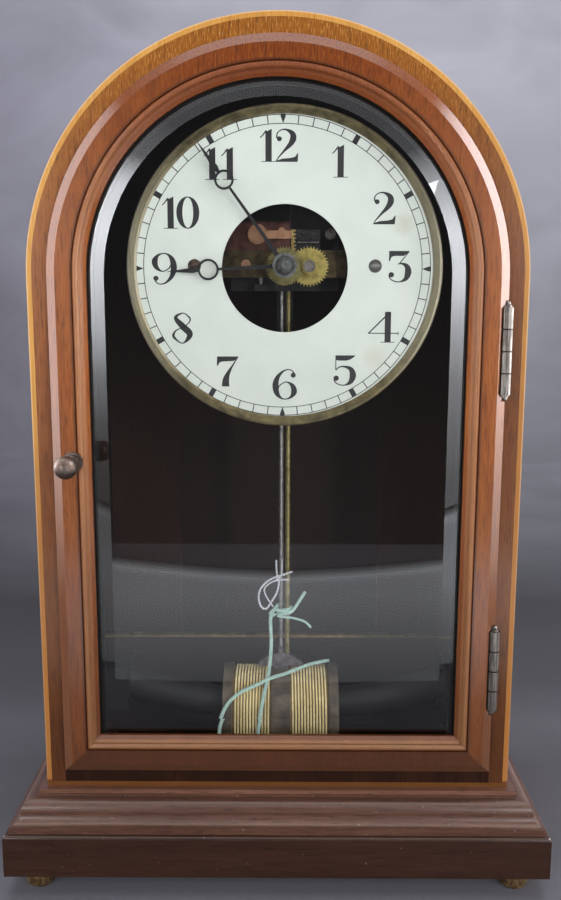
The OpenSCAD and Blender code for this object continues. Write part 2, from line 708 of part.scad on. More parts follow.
// The minute wheel's stud, the contact strip's screw, the plate screws and the contact pin.
module movement_screws() movement() color("lightgray") {
    rod_y(wheel_gap, 0, hour_wheel_y - 1.1, bar_y, stud_r);
    rod_y(wheel_gap, 0, bar_y - 0.1, bar_y + bar_t, 1.2);
    slotted_head(wheel_gap, 0, hour_wheel_y - 1.1, 2.7, 1.3, 35);
    slotted_head(strip_screw[0], strip_screw[1], plate_y - 1.4, 4.2, 1.8, 55);
    rod_y(strip_screw[0], strip_screw[1], plate_y - 1.5, plate_y + plate_t, 1.5);
    for (side = [-1, 1]) {
        slotted_head(plate_screw_x * side, 1, bar_y, 2.2, 1, 20);
        rod_y(plate_screw_x * side, 1, bar_y - 0.1, bar_y + bar_t, 1.2);
    }
    slotted_head(block_screw[0], block_screw[1], plate_y + 2, 2.5, 1.4, 0);
    rod_y(block_screw[0], block_screw[1], plate_y + 1.9, rear_y, 1.9);
    translate([5.9, plate_y - 1.1, 11.1]) rotate([0, 90, 0]) cylinder(h = 10, r = 0.6);
}

module contact_plate() movement() color([0.32, 0.18, 0.15]) difference() {
    union() {
        block([-29, plate_y, bar_high], [2.5, plate_y + plate_t, pivot_up - 2]);
        for (z = [13, 32]) rod_y(-21, z, plate_y + 1, rear_y, 2);
    }
    rod_y(strip_screw[0], strip_screw[1], plate_y - 1, plate_y + plate_t + 1, 1.5 + seat);
    rod_y(0, pivot_up - lever_pivot_z, plate_y - 1, plate_y + plate_t + 1, 1.2 + fit);
}

// Black plate that carries the movement, with bearings for the arbors and the worm.
module rear_plate() movement() color([0.08, 0.08, 0.08]) difference() {
    union() {
        block([-rear_half, rear_y, worm_low - 3],
            [rear_half, rear_y + rear_t, pivot_up + 6 + bracket_h]);
        for (side = [-1, 1]) rod_y(plate_screw_x * side, 1, bar_y + bar_t, rear_y + 1, 2.5);
        for (z = [worm_low - 3, worm_high])
            block([worm_x - 3, worm_y - 2.5, z], [worm_x + 3, rear_y + 1, z + 3]);
    }
    rod_y(0, 0, rear_y - 1, rear_y + rear_t + 2, arbor_r + fit);
    rod_y(0, pivot_up - lever_pivot_z, rear_y - 1, rear_y + rear_t + 2, 1.2 + fit);
    translate([worm_x, worm_y, worm_low - 4]) cylinder(h = worm_high - worm_low + 8, r = 0.8 + fit);
    block([-5, rear_y - 1, pivot_up - contact_pin_z - 4],
        [5, rear_y + rear_t + 1, pivot_up - contact_pin_z + 4]);
}

// Worm drawn as rings at the wheel's pitch, just clear of the wheel's tips.
module worm_shaft() movement() color("silver") translate([worm_x, worm_y, 0]) {
    pitch = PI * worm_module;
    translate([0, 0, worm_low - 2.5]) cylinder(h = worm_high - worm_low + 5, r = 0.8);
    translate([0, 0, worm_low + 0.3]) cylinder(h = worm_high - worm_low - 0.6, r = 1.2);
    translate([0, 0, -3.5 * pitch]) cylinder(h = 7 * pitch, r = worm_r - 0.8);
    for (k = [-3 : 4]) translate([0, 0, (k - 0.5) * pitch - 0.2]) cylinder(h = 0.4, r = worm_r);
}

module ratchet_wheel() movement() color("goldenrod") translate([worm_x, worm_y, ratchet_z])
    linear_extrude(2) difference() {
        polygon([for (k = [0 : 23], t = [0, 1]) (ratchet_r - 0.8 * t) * [cos(15 * k), sin(15 * k)]]);
        circle(1.2 + seat);
    }

// Forked lever: its fork straddles the pendulum's pin and its finger turns the ratchet.
module contact_lever() movement() color("silver") {
    arm = pivot_up - lever_pivot_z;
    fork_end = pivot_up - contact_pin_z - 3.5;
    rod_y(0, arm, plate_y, rear_y + rear_t, 1.2);
    extrude_y(lever_y, lever_y + 1.8) difference() {
        union() {
            translate([0, arm]) circle(3);
            translate([-2.6, fork_end]) square([5.2, arm - fork_end]);
            translate([-9, ratchet_z + 3.4]) square([8, 1.4]);
        }
        translate([-1.5, fork_end - 1]) square([3, 7]);
    }
}

module contact_strip() movement() color("chocolate") difference() {
    extrude_y(plate_y - 1.4, plate_y - 0.8) {
        translate(strip_screw) circle(4.6);
        translate(strip_screw - [0, 2]) square([15.6, 3.7]);
        translate([-1.5, 16.3]) circle(1.6);
    }
    rod_y(strip_screw[0], strip_screw[1], plate_y - 3, plate_y + 1, 1.5 + seat);
}

module insulator_block() movement() color([0.05, 0.05, 0.05]) difference() {
    union() {
        block([3, bar_y + 1.5, bar_high], [16.4, plate_y + 6, 17]);
        for (spot = [[9.4, 14.6], [13.2, 13.8]]) rod_y(spot[0], spot[1], bar_y + 0.3, bar_y + 2, 1.2);
    }
    translate([5.4, bar_y + 1, 9.4]) cube([11.5, 2.2, 3.4]);
}

// Cast bracket from the back board: an arm, a column behind the rods, and the spring's jaws.
module movement_bracket() clock() color([0.09, 0.08, 0.08]) translate([movement_x, 0, 0]) {
    block([-8, bracket_y, bracket_z], [8, back_y - 4, bracket_z + bracket_h]);
    block([-4, pendulum_y + 8, dial_z - 33], [4, pendulum_y + 14, bracket_z + 1]);
    block([-20, back_y - 4, bracket_z - 30], [20, back_y, bracket_z + bracket_h]);
    extrude_y(back_y - 50, back_y - 4) translate([-2, bracket_z - 3]) square([4, 4]);
    difference() {
        block([-4, pendulum_y - 3.5, pivot_z], [4, pendulum_y + 3.5, bracket_z + 1]);
        block([-0.15, pendulum_y - 4, pivot_z - 1], [0.15, pendulum_y + 4, bracket_z]);
    }
}

module suspension_spring() clock() color("lightsteelblue") translate([movement_x, pendulum_y, pivot_z])
    block([-0.1, -3, -head_top], [0.1, 3, -0.05]);

// Head block with the contact pin.
module pendulum_head() clock() color("goldenrod") translate([movement_x, pendulum_y, pivot_z]) {
    difference() {
        block([-4, -3, -head_bottom], [4, 3, -head_top + 4]);
        block([-0.12, -3.1, -head_top - 0.02], [0.12, 3.1, -head_top + 5]);
        translate([steel_x, 0, -head_bottom - 1]) cylinder(h = 6, r = steel_r + seat);
        translate([brass_x, 0, -head_bottom - 1]) cylinder(h = 6, r = brass_r + seat);
    }
    rod_y(0, -contact_pin_z, lever_y - 1 - pendulum_y, -2.5, 1);
}

module pendulum_rod(x, r, bottom) clock() translate([movement_x + x, pendulum_y, bottom])
    cylinder(h = pivot_z - head_bottom + 5 - bottom, r = r);

module steel_rod() color("silver") pendulum_rod(steel_x, steel_r, hanger_z + 1);

module brass_rod() color("goldenrod") pendulum_rod(brass_x, brass_r, hanger_z + hanger_h - 1);

module coil_axis() clock() translate([movement_x + steel_x, pendulum_y, coil_z]) children();

// Former with two cheeks, a band in the middle and the inner layers of wire. Each winding's
// ends run into a lug beside a cheek.
module coil_bobbin() coil_axis() color([0.33, 0.25, 0.18]) {
    rotate([0, 90, 0]) rotate_extrude($fn = 96) for (side = [0, 1]) mirror([0, side]) {
        translate([bore_r, coil_l / 2 - cheek_t]) square([coil_r - bore_r, cheek_t]);
        translate([bore_r, 0]) square([band_r - bore_r, band_w / 2]);
        translate([bore_r, 0]) square([core_r - bore_r, coil_l / 2 - cheek_t + 0.1]);
    }
    for (side = [-1, 1], end = [0, 1]) lug(side, end);
}

// Place of a loop, measured from the middle of the coil: 0 is the first and 1 is the last.
function loop_x(end) = band_w / 2 + 0.3 + wire_d / 2 + end * loops * pitch;

module lug(side, end) {
    x = loop_x(end);
    x0 = end == 0 ? band_w / 2 - 0.2 : x - 0.7;
    x1 = end == 0 ? x + 0.7 : coil_l / 2 - cheek_t + 0.2;
    z = end == 0 ? -lead_in : lead_in;
    mirror([side < 0 ? 1 : 0, 0, 0])
        block([x0, core_r - 0.5, min(z, 1.5 * z)], [x1, winding_r + 0.6, max(z, 1.5 * z)]);
}

// One point of the wire's middle line. t runs from 0 to 1 along the turns, and the wire starts
// and ends level at the back of the coil.
function turn_point(t) = let (a = 360 * loops * t)
    [loop_x(t), winding_r * cos(a), winding_r * sin(a)];

function wire_path() = concat([[loop_x(0), winding_r, -lead_in]],
    [for (k = [0 : loops * rings]) turn_point(k / (loops * rings))],
    [[loop_x(1), winding_r, lead_in]]);

function unit(v) = v / norm(v);

// Rings round a path, each square to the path, with one side facing away from the axis x.
function tube_ring(p, dir, out, r, n) = let (side = unit(cross(dir, out)), up = cross(side, dir))
    [for (k = [0 : n - 1]) p + r * (up * cos(360 * k / n) + side * sin(360 * k / n))];

// A tube along a path. r is one radius or a list of them.
module tube(path, ups, r, n) {
    last = len(path) - 1;
    points = [for (k = [0 : last])
        let (dir = unit(path[min(k + 1, last)] - path[max(k - 1, 0)]))
        each tube_ring(path[k], dir, ups[k], is_list(r) ? r[k] : r, n)];
    walls = [for (k = [0 : last - 1], j = [0 : n - 1])
        let (a = k * n + j, b = k * n + (j + 1) % n)
        each [[a, b, b + n], [a, b + n, a + n]]];
    caps = concat([for (j = [1 : n - 2]) [0, j + 1, j]],
        [for (j = [1 : n - 2]) [last * n, last * n + j, last * n + j + 1]]);
    polyhedron(points, concat(walls, caps), convexity = 20);
}

module winding(side) {
    path = wire_path();
    ups = [for (p = path) [0, p[1], p[2]]];
    coil_axis() mirror([side < 0 ? 1 : 0, 0, 0]) tube(path, ups, wire_d / 2, sides);
}

// Least gap between loops, measured between ring points one loop apart.
loop_gap = min([for (k = [0 : rings], j = [rings - 1 : rings + 1])
    norm(turn_point(k / (loops * rings)) - turn_point((k + j) / (loops * rings)))]) - wire_d;
echo(least_gap_between_loops = loop_gap);

module coil_winding_left() color("gold") winding(-1);

module coil_winding_right() color("gold") winding(1);

// Arched plate on the coil's band that the rods hang it from.
module coil_hanger() clock() color("silver")
    translate([movement_x + steel_x, 0, hanger_z]) difference() {
    union() {
        extrude_y(pendulum_y - 2, pendulum_y + 2) intersection() {
            translate([0, hanger_h - 14]) circle(14);
            translate([-12, 0]) square([24, hanger_h]);
        }
        block([-band_w / 2 + 1, pendulum_y - 2, -1.5], [band_w / 2 - 1, pendulum_y + 2, 0.5]);
    }
    translate([0, pendulum_y, coil_z - hanger_z]) rotate([0, 90, 0])
        cylinder(h = 30, r = band_r + seat, center = true, $fn = 96);
    translate([0, pendulum_y, 1]) cylinder(h = hanger_h, r = steel_r + seat);
    translate([brass_x - steel_x, pendulum_y, hanger_h - 1])
        cylinder(h = hanger_h, r = brass_r + seat);
}

module rating_nut() clock() color("silver")
    translate([movement_x + steel_x, pendulum_y, hanger_z + hanger_h + 0.1]) difference() {
        cylinder(h = nut_h, r = nut_r);
        translate([0, 0, -1]) cylinder(h = nut_h + 2, r = steel_r + fit);
    }

module magnet_bar(extra, span) translate([movement_x, pendulum_y, pivot_z]) rotate([90, 0, 0])
    rotate(-90 - asin(span / pendulum_l)) rotate_extrude(angle = 2 * asin(span / pendulum_l), $fn = 360)
        translate([pendulum_l, 0]) circle(magnet_r + extra);

module magnet() clock() color([0.07, 0.07, 0.08]) magnet_bar(0, magnet_half);

// Blocks on the case sides that hold the magnet's ends.
module magnet_clamps() clock() color([0.12, 0.1, 0.1]) difference() {
    rise = pendulum_l - sqrt(pow(pendulum_l, 2) - pow(magnet_half, 2));
    z = coil_z + rise;
    union() {
        block([movement_x + clamp_in, pendulum_y - 11, z - 12], [inner_r, pendulum_y + 11, z + 11]);
        block([-inner_r, pendulum_y - 11, z - 12], [movement_x - clamp_in, pendulum_y + 11, z + 11]);
    }
    magnet_bar(0.05, magnet_half + 0.05);
}

module battery_board() clock() color([0.2, 0.1, 0.07]) {
    block([-hollow_x, battery_board_y, floor_z],
        [hollow_x, battery_board_y + board_depth, battery_board_top - edging_h]);
    block([-inner_r, battery_board_y, case_z],
        [inner_r, battery_board_y + board_depth, battery_board_top - edging_h]);
}

module brass_edging() clock() color("gold")
    block([-inner_r, battery_board_y, battery_board_top - edging_h],
        [inner_r, battery_board_y + board_depth, battery_board_top]);

module battery() clock() {
    x0 = -battery_w / 2;
    y0 = battery_board_y + board_depth + 1;
    color("steelblue") block([x0, y0, floor_z], [x0 + battery_w, y0 + battery_d, floor_z + battery_h]);
    color("gold") for (x = [x0 + 14, -x0 - 14])
        translate([x - 4, y0 + battery_d / 2 - 0.2, floor_z + battery_h]) cube([8, 0.4, 4.5]);
}

// Routes of the string, in x from the movement's middle, y and z.
string_path = [
    [-6.8, 52.2, 112], [-6.9, 51.8, 109], [-6.7, 51.6, 104], [-6.5, 51.2, 98], [-6.8, 49.8, 91.5],
    [-7.6, 46, 84.6], [-8.6, 41.6, 80.4], [-10, 37, 75.4], [-11.3, 34, 69.5], [-12.6, 32.6, 63],
    [-13.4, 32.4, 57], [-14.8, 32.6, 51.5], [-18, 32.8, 47.4], [-22.5, 32.8, 45.8], [-27.2, 32.8, 47.2],
    [-30.8, 32.6, 51.2], [-32.2, 32.4, 57], [-32.2, 32.6, 63], [-30.4, 33.6, 68.4], [-27.2, 35.6, 73],
    [-22.6, 37.8, 76.3], [-17, 39.6, 78.6], [-12.6, 40.6, 80.2], [-8.4, 41, 82.4], [-4, 43.6, 82.9],
    [1, 46, 83.5], [6.5, 48.8, 84.6], [12, 52, 85.5], [17, 54.4, 86], [22, 56.4, 86.2]];
string_r = 0.9;
loop_path = [
    [-3.9, 53.1, 142], [-3.9, 53, 138], [-3.5, 52.8, 134.2], [-2.6, 52.6, 130], [-3.6, 52.2, 125],
    [-6.2, 51.8, 120.4], [-9, 51.4, 116.6], [-11.6, 51.2, 117.6], [-13, 51.2, 122.4], [-12, 51.3, 127],
    [-9, 51.6, 130.6], [-5.6, 51.6, 132.8], [-2, 51.7, 134], [1.5, 52.6, 135], [4.4, 54, 135.6]];
loop_r = 0.6;

// Smooth curve through the points of p, n steps between each two.
function curve(p, k, t) =
    let (a = p[max(k - 1, 0)], b = p[k], c = p[k + 1], d = p[min(k + 2, len(p) - 1)])
    0.5 * (2 * b + (c - a) * t + (2 * a - 5 * b + 4 * c - d) * t * t
        + (3 * b - a - 3 * c + d) * t * t * t);

function smooth(p, n) = concat([for (k = [0 : len(p) - 2], j = [0 : n - 1]) curve(p, k, j / n)],
    [p[len(p) - 1]]);

module cord(path, r, n) clock() translate([movement_x, 0, 0]) {
    line = smooth(path, n);
    tube(line, [for (p = line) [0.3, -1, 0.2]], r, 8);
}

// Two turns round the rods, and a tail that swells into the knot beside them.
module tie_knot() clock() color("aquamarine") translate([movement_x, 0, 0]) {
    twine_r = 0.8;
    steps = 40;
    turns = 2.25;
    middle = (steel_x + brass_x + brass_r - steel_r) / 2;
    wrap_r = (brass_x - steel_x + brass_r + steel_r) / 2 + twine_r + 0.25;
    wrap_y = brass_r + twine_r + 0.5;
    wrap = [for (k = [0 : steps]) let (a = 90 + 360 * turns * k / steps)
        [middle + wrap_r * cos(a), pendulum_y + wrap_y * sin(a), 112 + 2.1 * turns * k / steps]];
    tail = smooth([[-4.2, 54.9, 115.9], [-5, 53.8, 115], [-5.4, 52.9, 114.1], [-6, 52.5, 113.2],
        [-6.5, 52.3, 112.5]], 2);
    line = concat(wrap, tail);
    radii = concat([for (p = wrap) twine_r], [for (k = [0 : 8]) twine_r + 0.9 * sin(180 * k / 8)]);
    tube(line, [for (p = line) [1, -0.3, 1.2]], radii, 8);
}

module tie_string() color("aquamarine") cord(string_path, string_r, 2);

module tie_loop() color("white") cord(loop_path, loop_r, 3);

feet();
plinth_board();
plinth_slab();
plinth_moulding();
plinth_cap();
case_shell();
case_bottom_rail();
front_stringing();
door_stop();
back_board();
back_screws();
rear_panel();
turn_button();
door_frame();
door_glass();
glass_bead();
hinge_case_leaves();
hinge_door_leaves();
hinge_pins();
knob_rose();
door_knob();
latch_tongue();
latch_keeper();
dial_plate();
dial_bezel();
dial_screws();
dial_bar();
minute_hand();
hour_hand();
hand_nut();
minute_arbor();
worm_wheel();
hour_wheel();
minute_wheel();
movement_screws();
contact_plate();
rear_plate();
worm_shaft();
ratchet_wheel();
contact_lever();
contact_strip();
insulator_block();
movement_bracket();
suspension_spring();
pendulum_head();
steel_rod();
brass_rod();
coil_bobbin();
coil_winding_left();
coil_winding_right();
coil_hanger();
rating_nut();
magnet();
magnet_clamps();
battery_board();
brass_edging();
battery();
tie_knot();
tie_string();
tie_loop();
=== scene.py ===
"""Arched mantel clock: camera, cords, windings, dial print, materials and light."""
import math

import bpy
from mathutils import Matrix, Vector


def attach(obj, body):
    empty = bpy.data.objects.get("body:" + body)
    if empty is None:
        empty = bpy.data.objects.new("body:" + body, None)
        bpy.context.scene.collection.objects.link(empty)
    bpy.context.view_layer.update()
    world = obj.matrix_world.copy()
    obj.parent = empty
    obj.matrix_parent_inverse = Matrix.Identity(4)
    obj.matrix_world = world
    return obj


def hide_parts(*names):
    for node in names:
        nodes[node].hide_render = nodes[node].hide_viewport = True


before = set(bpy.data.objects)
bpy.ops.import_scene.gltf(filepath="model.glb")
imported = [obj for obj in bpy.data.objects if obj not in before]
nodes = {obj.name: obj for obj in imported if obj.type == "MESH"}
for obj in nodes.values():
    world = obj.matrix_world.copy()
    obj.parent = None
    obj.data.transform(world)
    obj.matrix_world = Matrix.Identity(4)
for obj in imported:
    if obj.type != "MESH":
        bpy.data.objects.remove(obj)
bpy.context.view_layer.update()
MM = 0.001
ARCH_Z = 0.283                          # centre of the case's arch
HAND_X, HAND_Z = 0.003, 0.289           # centre of the hands
FACE_MM, MIDDLE_MM = -63, 3             # the case's face in y, the movement's middle in x
ROD_DEPTH = 56                          # the pendulum's rods behind the case's face, in mm


# ---------------------------------------------------------------- camera
PHOTO_HEIGHT, FOCAL_PX = 900, 918.6     # the photograph's long side and focal length, in pixels
SENSOR = 36                             # mm along that side
EYE = (0.00307, -0.4669, 0.27508)
YAW, PITCH, ROLL = 0.0043, 0.165, 0.0022


def make_camera():
    """The photograph's viewpoint: 0.4 m in front of the case, just below the dial's middle."""
    right = Vector((math.cos(YAW), math.sin(YAW), 0))
    ahead = Vector((-math.sin(YAW), math.cos(YAW), 0))
    forward = ahead * math.cos(PITCH) + Vector((0, 0, -math.sin(PITCH)))
    up = right.cross(forward)
    camera_right = right * math.cos(ROLL) + up * math.sin(ROLL)
    camera_up = up * math.cos(ROLL) - right * math.sin(ROLL)
    data = bpy.data.cameras.new("camera")
    data.sensor_width = SENSOR
    data.lens = SENSOR * FOCAL_PX / PHOTO_HEIGHT
    camera = bpy.data.objects.new("camera", data)
    bpy.context.scene.collection.objects.link(camera)
    camera.matrix_world = Matrix.Translation(EYE) @ Matrix(
        (camera_right, camera_up, -forward)).transposed().to_4x4()
    bpy.context.scene.camera = camera


make_camera()


# ---------------------------------------------------------------- mesh helpers
def place(x, d, z):
    """A point given in mm: x from the movement's middle, d behind the case's face, z up."""
    return Vector((x + MIDDLE_MM, d + FACE_MM, z)) * MM


def add_mesh(name, verts, faces, smooth=True):
    """A new object in the scene from vertices and faces."""
    mesh = bpy.data.meshes.new(name)
    mesh.from_pydata([tuple(v) for v in verts], [], faces)
    mesh.validate()
    mesh.update()
    for p in mesh.polygons:
        p.use_smooth = smooth
    obj = bpy.data.objects.new(name, mesh)
    bpy.context.scene.collection.objects.link(obj)
    return obj


def catmull(points, steps):
    """Smooth line through the points, with steps parts between each two."""
    p = [Vector(q) for q in points]
    out = []
    for k in range(len(p) - 1):
        a, b, c, d = p[max(k - 1, 0)], p[k], p[k + 1], p[min(k + 2, len(p) - 1)]
        for j in range(steps):
            t = j / steps
            out.append(0.5 * (2 * b + (c - a) * t + (2 * a - 5 * b + 4 * c - d) * t * t
                              + (3 * b - a - 3 * c + d) * t ** 3))
    return out + [p[-1]]


def length_of(line):
    """Length along a line of points."""
    return sum((b - a).length for a, b in zip(line, line[1:]))


def even(line, step):
    """The same line with points a fixed distance apart."""
    total = length_of(line)
    count = max(2, round(total / step))
    out, k, done = [line[0].copy()], 0, 0.0
    for i in range(1, count):
        want = total * i / count
        while done + (line[k + 1] - line[k]).length < want:
            done += (line[k + 1] - line[k]).length
            k += 1
        part = (want - done) / (line[k + 1] - line[k]).length
        out.append(line[k].lerp(line[k + 1], part))
    return out + [line[-1].copy()]


def rope(line, strand_r, offset, pitch, strands, sides=6, outward=None):
    """Vertices and faces of strands twisted round a line; outward(point) gives their first side."""
    verts, faces = [], []
    normal = Vector((0.31, -1, 0.2))    # any direction that no cord here runs along
    walk, rings = 0.0, []
    for k, p in enumerate(line):
        along = (line[min(k + 1, len(line) - 1)] - line[max(k - 1, 0)]).normalized()
        if k:
            walk += (p - line[k - 1]).length
        if outward:
            normal = outward(p)
        normal = (normal - along * normal.dot(along)).normalized()
        rings.append((p, normal, along.cross(normal), walk))
    for s in range(strands):
        base = len(verts)
        for k, (p, up, side, walk) in enumerate(rings):
            turn = 2 * math.pi * (walk / pitch + s / strands)
            middle = p + (up * math.cos(turn) + side * math.sin(turn)) * offset
            for j in range(sides):
                a = 2 * math.pi * j / sides
                verts.append(middle + (up * math.cos(a) + side * math.sin(a)) * strand_r)
        for k in range(len(rings) - 1):
            for j in range(sides):
                a, b = base + k * sides + j, base + k * sides + (j + 1) % sides
                faces.append((a, b, b + sides, a + sides))
        faces.append(tuple(base + j for j in reversed(range(sides))))
        faces.append(tuple(base + (len(rings) - 1) * sides + j for j in range(sides)))
    return verts, faces


def join(parts):
    """Puts several (vertices, faces) together."""
    verts, faces = [], []
    for v, f in parts:
        faces += [tuple(i + len(verts) for i in face) for face in f]
        verts += list(v)
    return verts, faces


# ---------------------------------------------------------------- cords
# Routes from part.scad, each point as (x, depth, z) in mm for place().
STRING = [
    (-6.8, 52.2, 112), (-6.9, 51.8, 109), (-6.7, 51.6, 104), (-6.5, 51.2, 98), (-6.8, 49.8, 91.5),
    (-7.6, 46, 84.6), (-8.6, 41.6, 80.4), (-10, 37, 75.4), (-11.3, 34, 69.5), (-12.6, 32.6, 63),
    (-13.4, 32.4, 57), (-14.8, 32.6, 51.5), (-18, 32.8, 47.4), (-22.5, 32.8, 45.8),
    (-27.2, 32.8, 47.2), (-30.8, 32.6, 51.2), (-32.2, 32.4, 57), (-32.2, 32.6, 63),
    (-30.4, 33.6, 68.4), (-27.2, 35.6, 73), (-22.6, 37.8, 76.3), (-17, 39.6, 78.6),
    (-12.6, 40.6, 80.2), (-8.4, 41, 82.4), (-4, 43.6, 82.9), (1, 46, 83.5), (6.5, 48.8, 84.6),
    (12, 52, 85.5), (17, 54.4, 86), (22, 56.4, 86.2)]
LOOP = [
    (-3.9, 53.1, 142), (-3.9, 53, 138), (-3.5, 52.8, 134.2), (-2.6, 52.6, 130), (-3.6, 52.2, 125),
    (-6.2, 51.8, 120.4), (-9, 51.4, 116.6), (-11.6, 51.2, 117.6), (-13, 51.2, 122.4),
    (-12, 51.3, 127), (-9, 51.6, 130.6), (-5.6, 51.6, 132.8), (-2, 51.7, 134), (1.5, 52.6, 135),
    (4.4, 54, 135.6)]


def twine(line, radius, strands=3, pitch=5.0):
    """Twisted cord of this outside radius; radius and pitch are in mm."""
    strand = radius * (0.52 if strands == 3 else 0.5)
    return rope(even(line, 0.55 * MM), strand * MM, (radius - strand) * MM, pitch * MM, strands)


def fray_end(line, hairs=14, golden=2.399):
    """Two-ply hairs that spread out of the line's end, turned by the golden angle each."""
    ends = []
    tip, back = line[-1], line[-4]
    along = (tip - back).normalized()
    side = along.cross(Vector((0, 1, 0))).normalized()
    for k in range(hairs):
        a = golden * k
        spread = (side * math.cos(a) + side.cross(along) * math.sin(a))
        size = 0.35 + 0.6 * ((k * 37) % hairs) / hairs
        points = [tip - along * 1.2 * MM + spread * 0.35 * MM,
                  tip + along * 0.6 * MM + spread * 0.55 * size * MM,
                  tip + along * (1.5 + 0.7 * size) * MM + spread * 1.0 * size * MM]
        ends.append(rope(catmull(points, 4), 0.13 * MM, 0.04 * MM, 3 * MM, 2, 5))
    return join(ends)


def make_string():
    """The green string: knot to bare end, with a frayed tip."""
    line = catmull([place(*p) for p in STRING], 8)
    verts, faces = twine(line, 1.05)
    string = add_mesh("string", verts, faces)
    fray = add_mesh("string_fray", *fray_end(line))
    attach(string, "pendulum")
    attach(fray, "pendulum")
    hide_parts("tie_string")
    return [string, fray]


def make_knot():
    """Two and a quarter turns round both rods, a crossing, and two short tails."""
    turns, steps = 2.25, 72
    middle, wrap_x, wrap_y = 0.4, 3.8, 2.6
    wrap = []
    for k in range(steps + 1):
        a = math.radians(90 + 360 * turns * k / steps)
        wrap.append(place(middle + wrap_x * math.cos(a), ROD_DEPTH + wrap_y * math.sin(a),
                          112 + 2.1 * turns * k / steps))
    tail = catmull([wrap[-1], place(-4.2, 54.9, 115.9), place(-5, 53.6, 115),
                    place(-5.6, 52.8, 114), place(-6.2, 52.4, 113), place(-6.8, 52.2, 112)], 4)
    over = catmull([place(-4.6, 54.2, 112.5), place(-6.3, 52.0, 112.4), place(-6.9, 51.3, 114.0),
                    place(-5.6, 51.5, 115.6), place(-4.4, 53.2, 115.2), place(-1.6, 52.6, 115)], 6)
    right = catmull([place(-1.6, 52.6, 115), place(1.8, 52.2, 114.7), place(4.4, 52.6, 115),
                     place(7.1, 53.4, 118.5), place(11, 54.4, 124.7)], 6)
    low = catmull([place(-3.4, 53.4, 112), place(0, 52.5, 111.6), place(3.8, 52.7, 111.2),
                   place(7.1, 53.3, 110.2), place(11.1, 54, 108.5), place(14.1, 54.6, 105.3)], 6)
    parts = [twine(wrap + tail[1:], 0.9), twine(over, 0.9), twine(right, 0.9), twine(low, 0.7)]
    knot = add_mesh("string_knot", *join(parts))
    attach(knot, "pendulum")
    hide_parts("tie_knot")
    return knot


def make_loop():
    """The white thread: one loop, and its two loose ends."""
    line = catmull([place(*p) for p in LOOP], 8)
    verts, faces = twine(line, 0.6, 2, 3.5)
    loop = add_mesh("thread_loop", verts, faces)
    inner = catmull([place(2.7, 52.3, 131.8), place(-0.6, 51.4, 132.0), place(-6.0, 51.0, 131.0),
                     place(-9.8, 50.9, 127.8), place(-9.6, 51.0, 124.5), place(-7.4, 51.1, 120.5),
                     place(-5.4, 51.6, 117.4)], 6)
    rise = catmull([place(-0.9, 53.4, 142.4), place(-1.0, 53.0, 138.6), place(-1.2, 52.4, 135.4),
                    place(-2.2, 51.0, 133.2), place(-4.4, 50.7, 132.0)], 6)
    ends = add_mesh("thread_ends", *join([twine(inner, 0.45, 2, 3), twine(rise, 0.45, 2, 3)]))
    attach(loop, "pendulum")
    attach(ends, "pendulum")
    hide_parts("tie_loop")
    return [loop, ends]


def make_winding(side):
    """Outer layer of one half of the coil: 12 loops of two-ply covered wire."""
    loops, per_loop, radius, middle, first = 12, 240, 20.55, -1.5, 5.55
    pitch, up = 18.4 / loops, 62
    line = [place(middle + side * first, ROD_DEPTH + radius, up - 1.2)]
    for k in range(loops * per_loop + 1):
        a = 2 * math.pi * k / per_loop
        line.append(place(middle + side * (first + pitch * k / per_loop),
                          ROD_DEPTH + radius * math.cos(a), up + radius * math.sin(a)))
    line.append(place(middle + side * (first + pitch * loops), ROD_DEPTH + radius, up + 1.2))
    axis = place(0, ROD_DEPTH, up)
    verts, faces = rope(line, 0.33 * MM, 0.27 * MM, 2.4 * MM, 2, 5,
                        outward=lambda p: Vector((0, p.y - axis.y, p.z - axis.z)))
    name = "left" if side < 0 else "right"
    coil = add_mesh("winding_" + name, verts, faces)
    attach(coil, "pendulum")
    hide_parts("coil_winding_" + name)
    return coil


strings = make_string() + [make_knot()]
threads = make_loop()
windings = [make_winding(-1), make_winding(1)]

# ---------------------------------------------------------------- dial print
PRINT_Y = -0.04106                      # just in front of the dial's face


def disc(x, z, r, n=28):
    """One round face."""
    return [(x + r * math.cos(2 * math.pi * k / n), z + r * math.sin(2 * math.pi * k / n))
            for k in range(n)]


def ring(cx, cz, outer, inner, n=64):
    """Quads between two ellipses, each (half width, half height)."""
    quads = []
    for k in range(n):
        a, b = 2 * math.pi * k / n, 2 * math.pi * (k + 1) / n
        quads.append([(cx + r[0] * math.cos(t), cz + r[1] * math.sin(t))
                      for r, t in ((outer, a), (outer, b), (inner, b), (inner, a))])
    return quads


def stroke(points, steps=8):
    """Quads along a line of (x, z, width) points."""
    line = catmull(points, steps)
    edges = []
    for k, p in enumerate(line):
        a, b = line[max(k - 1, 0)], line[min(k + 1, len(line) - 1)]
        side = Vector((-(b.y - a.y), b.x - a.x)).normalized() * p.z / 2
        edges.append(((p.x + side.x, p.y + side.y), (p.x - side.x, p.y - side.y)))
    return [[a[0], a[1], b[1], b[0]] for a, b in zip(edges, edges[1:])]


BOWL = [(.58, .12, .14), (.42, .02, .045), (.26, .02, .035), (.12, .09, .035), (.06, .2, .04)]
SIX = [(.68, .86, .04), (.62, .95, .035), (.50, .985, .035), (.34, .93, .06), (.17, .74, .13),
       (.10, .48, .19), (.14, .22, .16), (.26, .06, .07), (.41, .015, .035), (.58, .08, .08),
       (.68, .25, .18), (.64, .44, .14), (.50, .565, .05), (.38, .565, .035), (.24, .47, .035),
       (.18, .36, .04)]


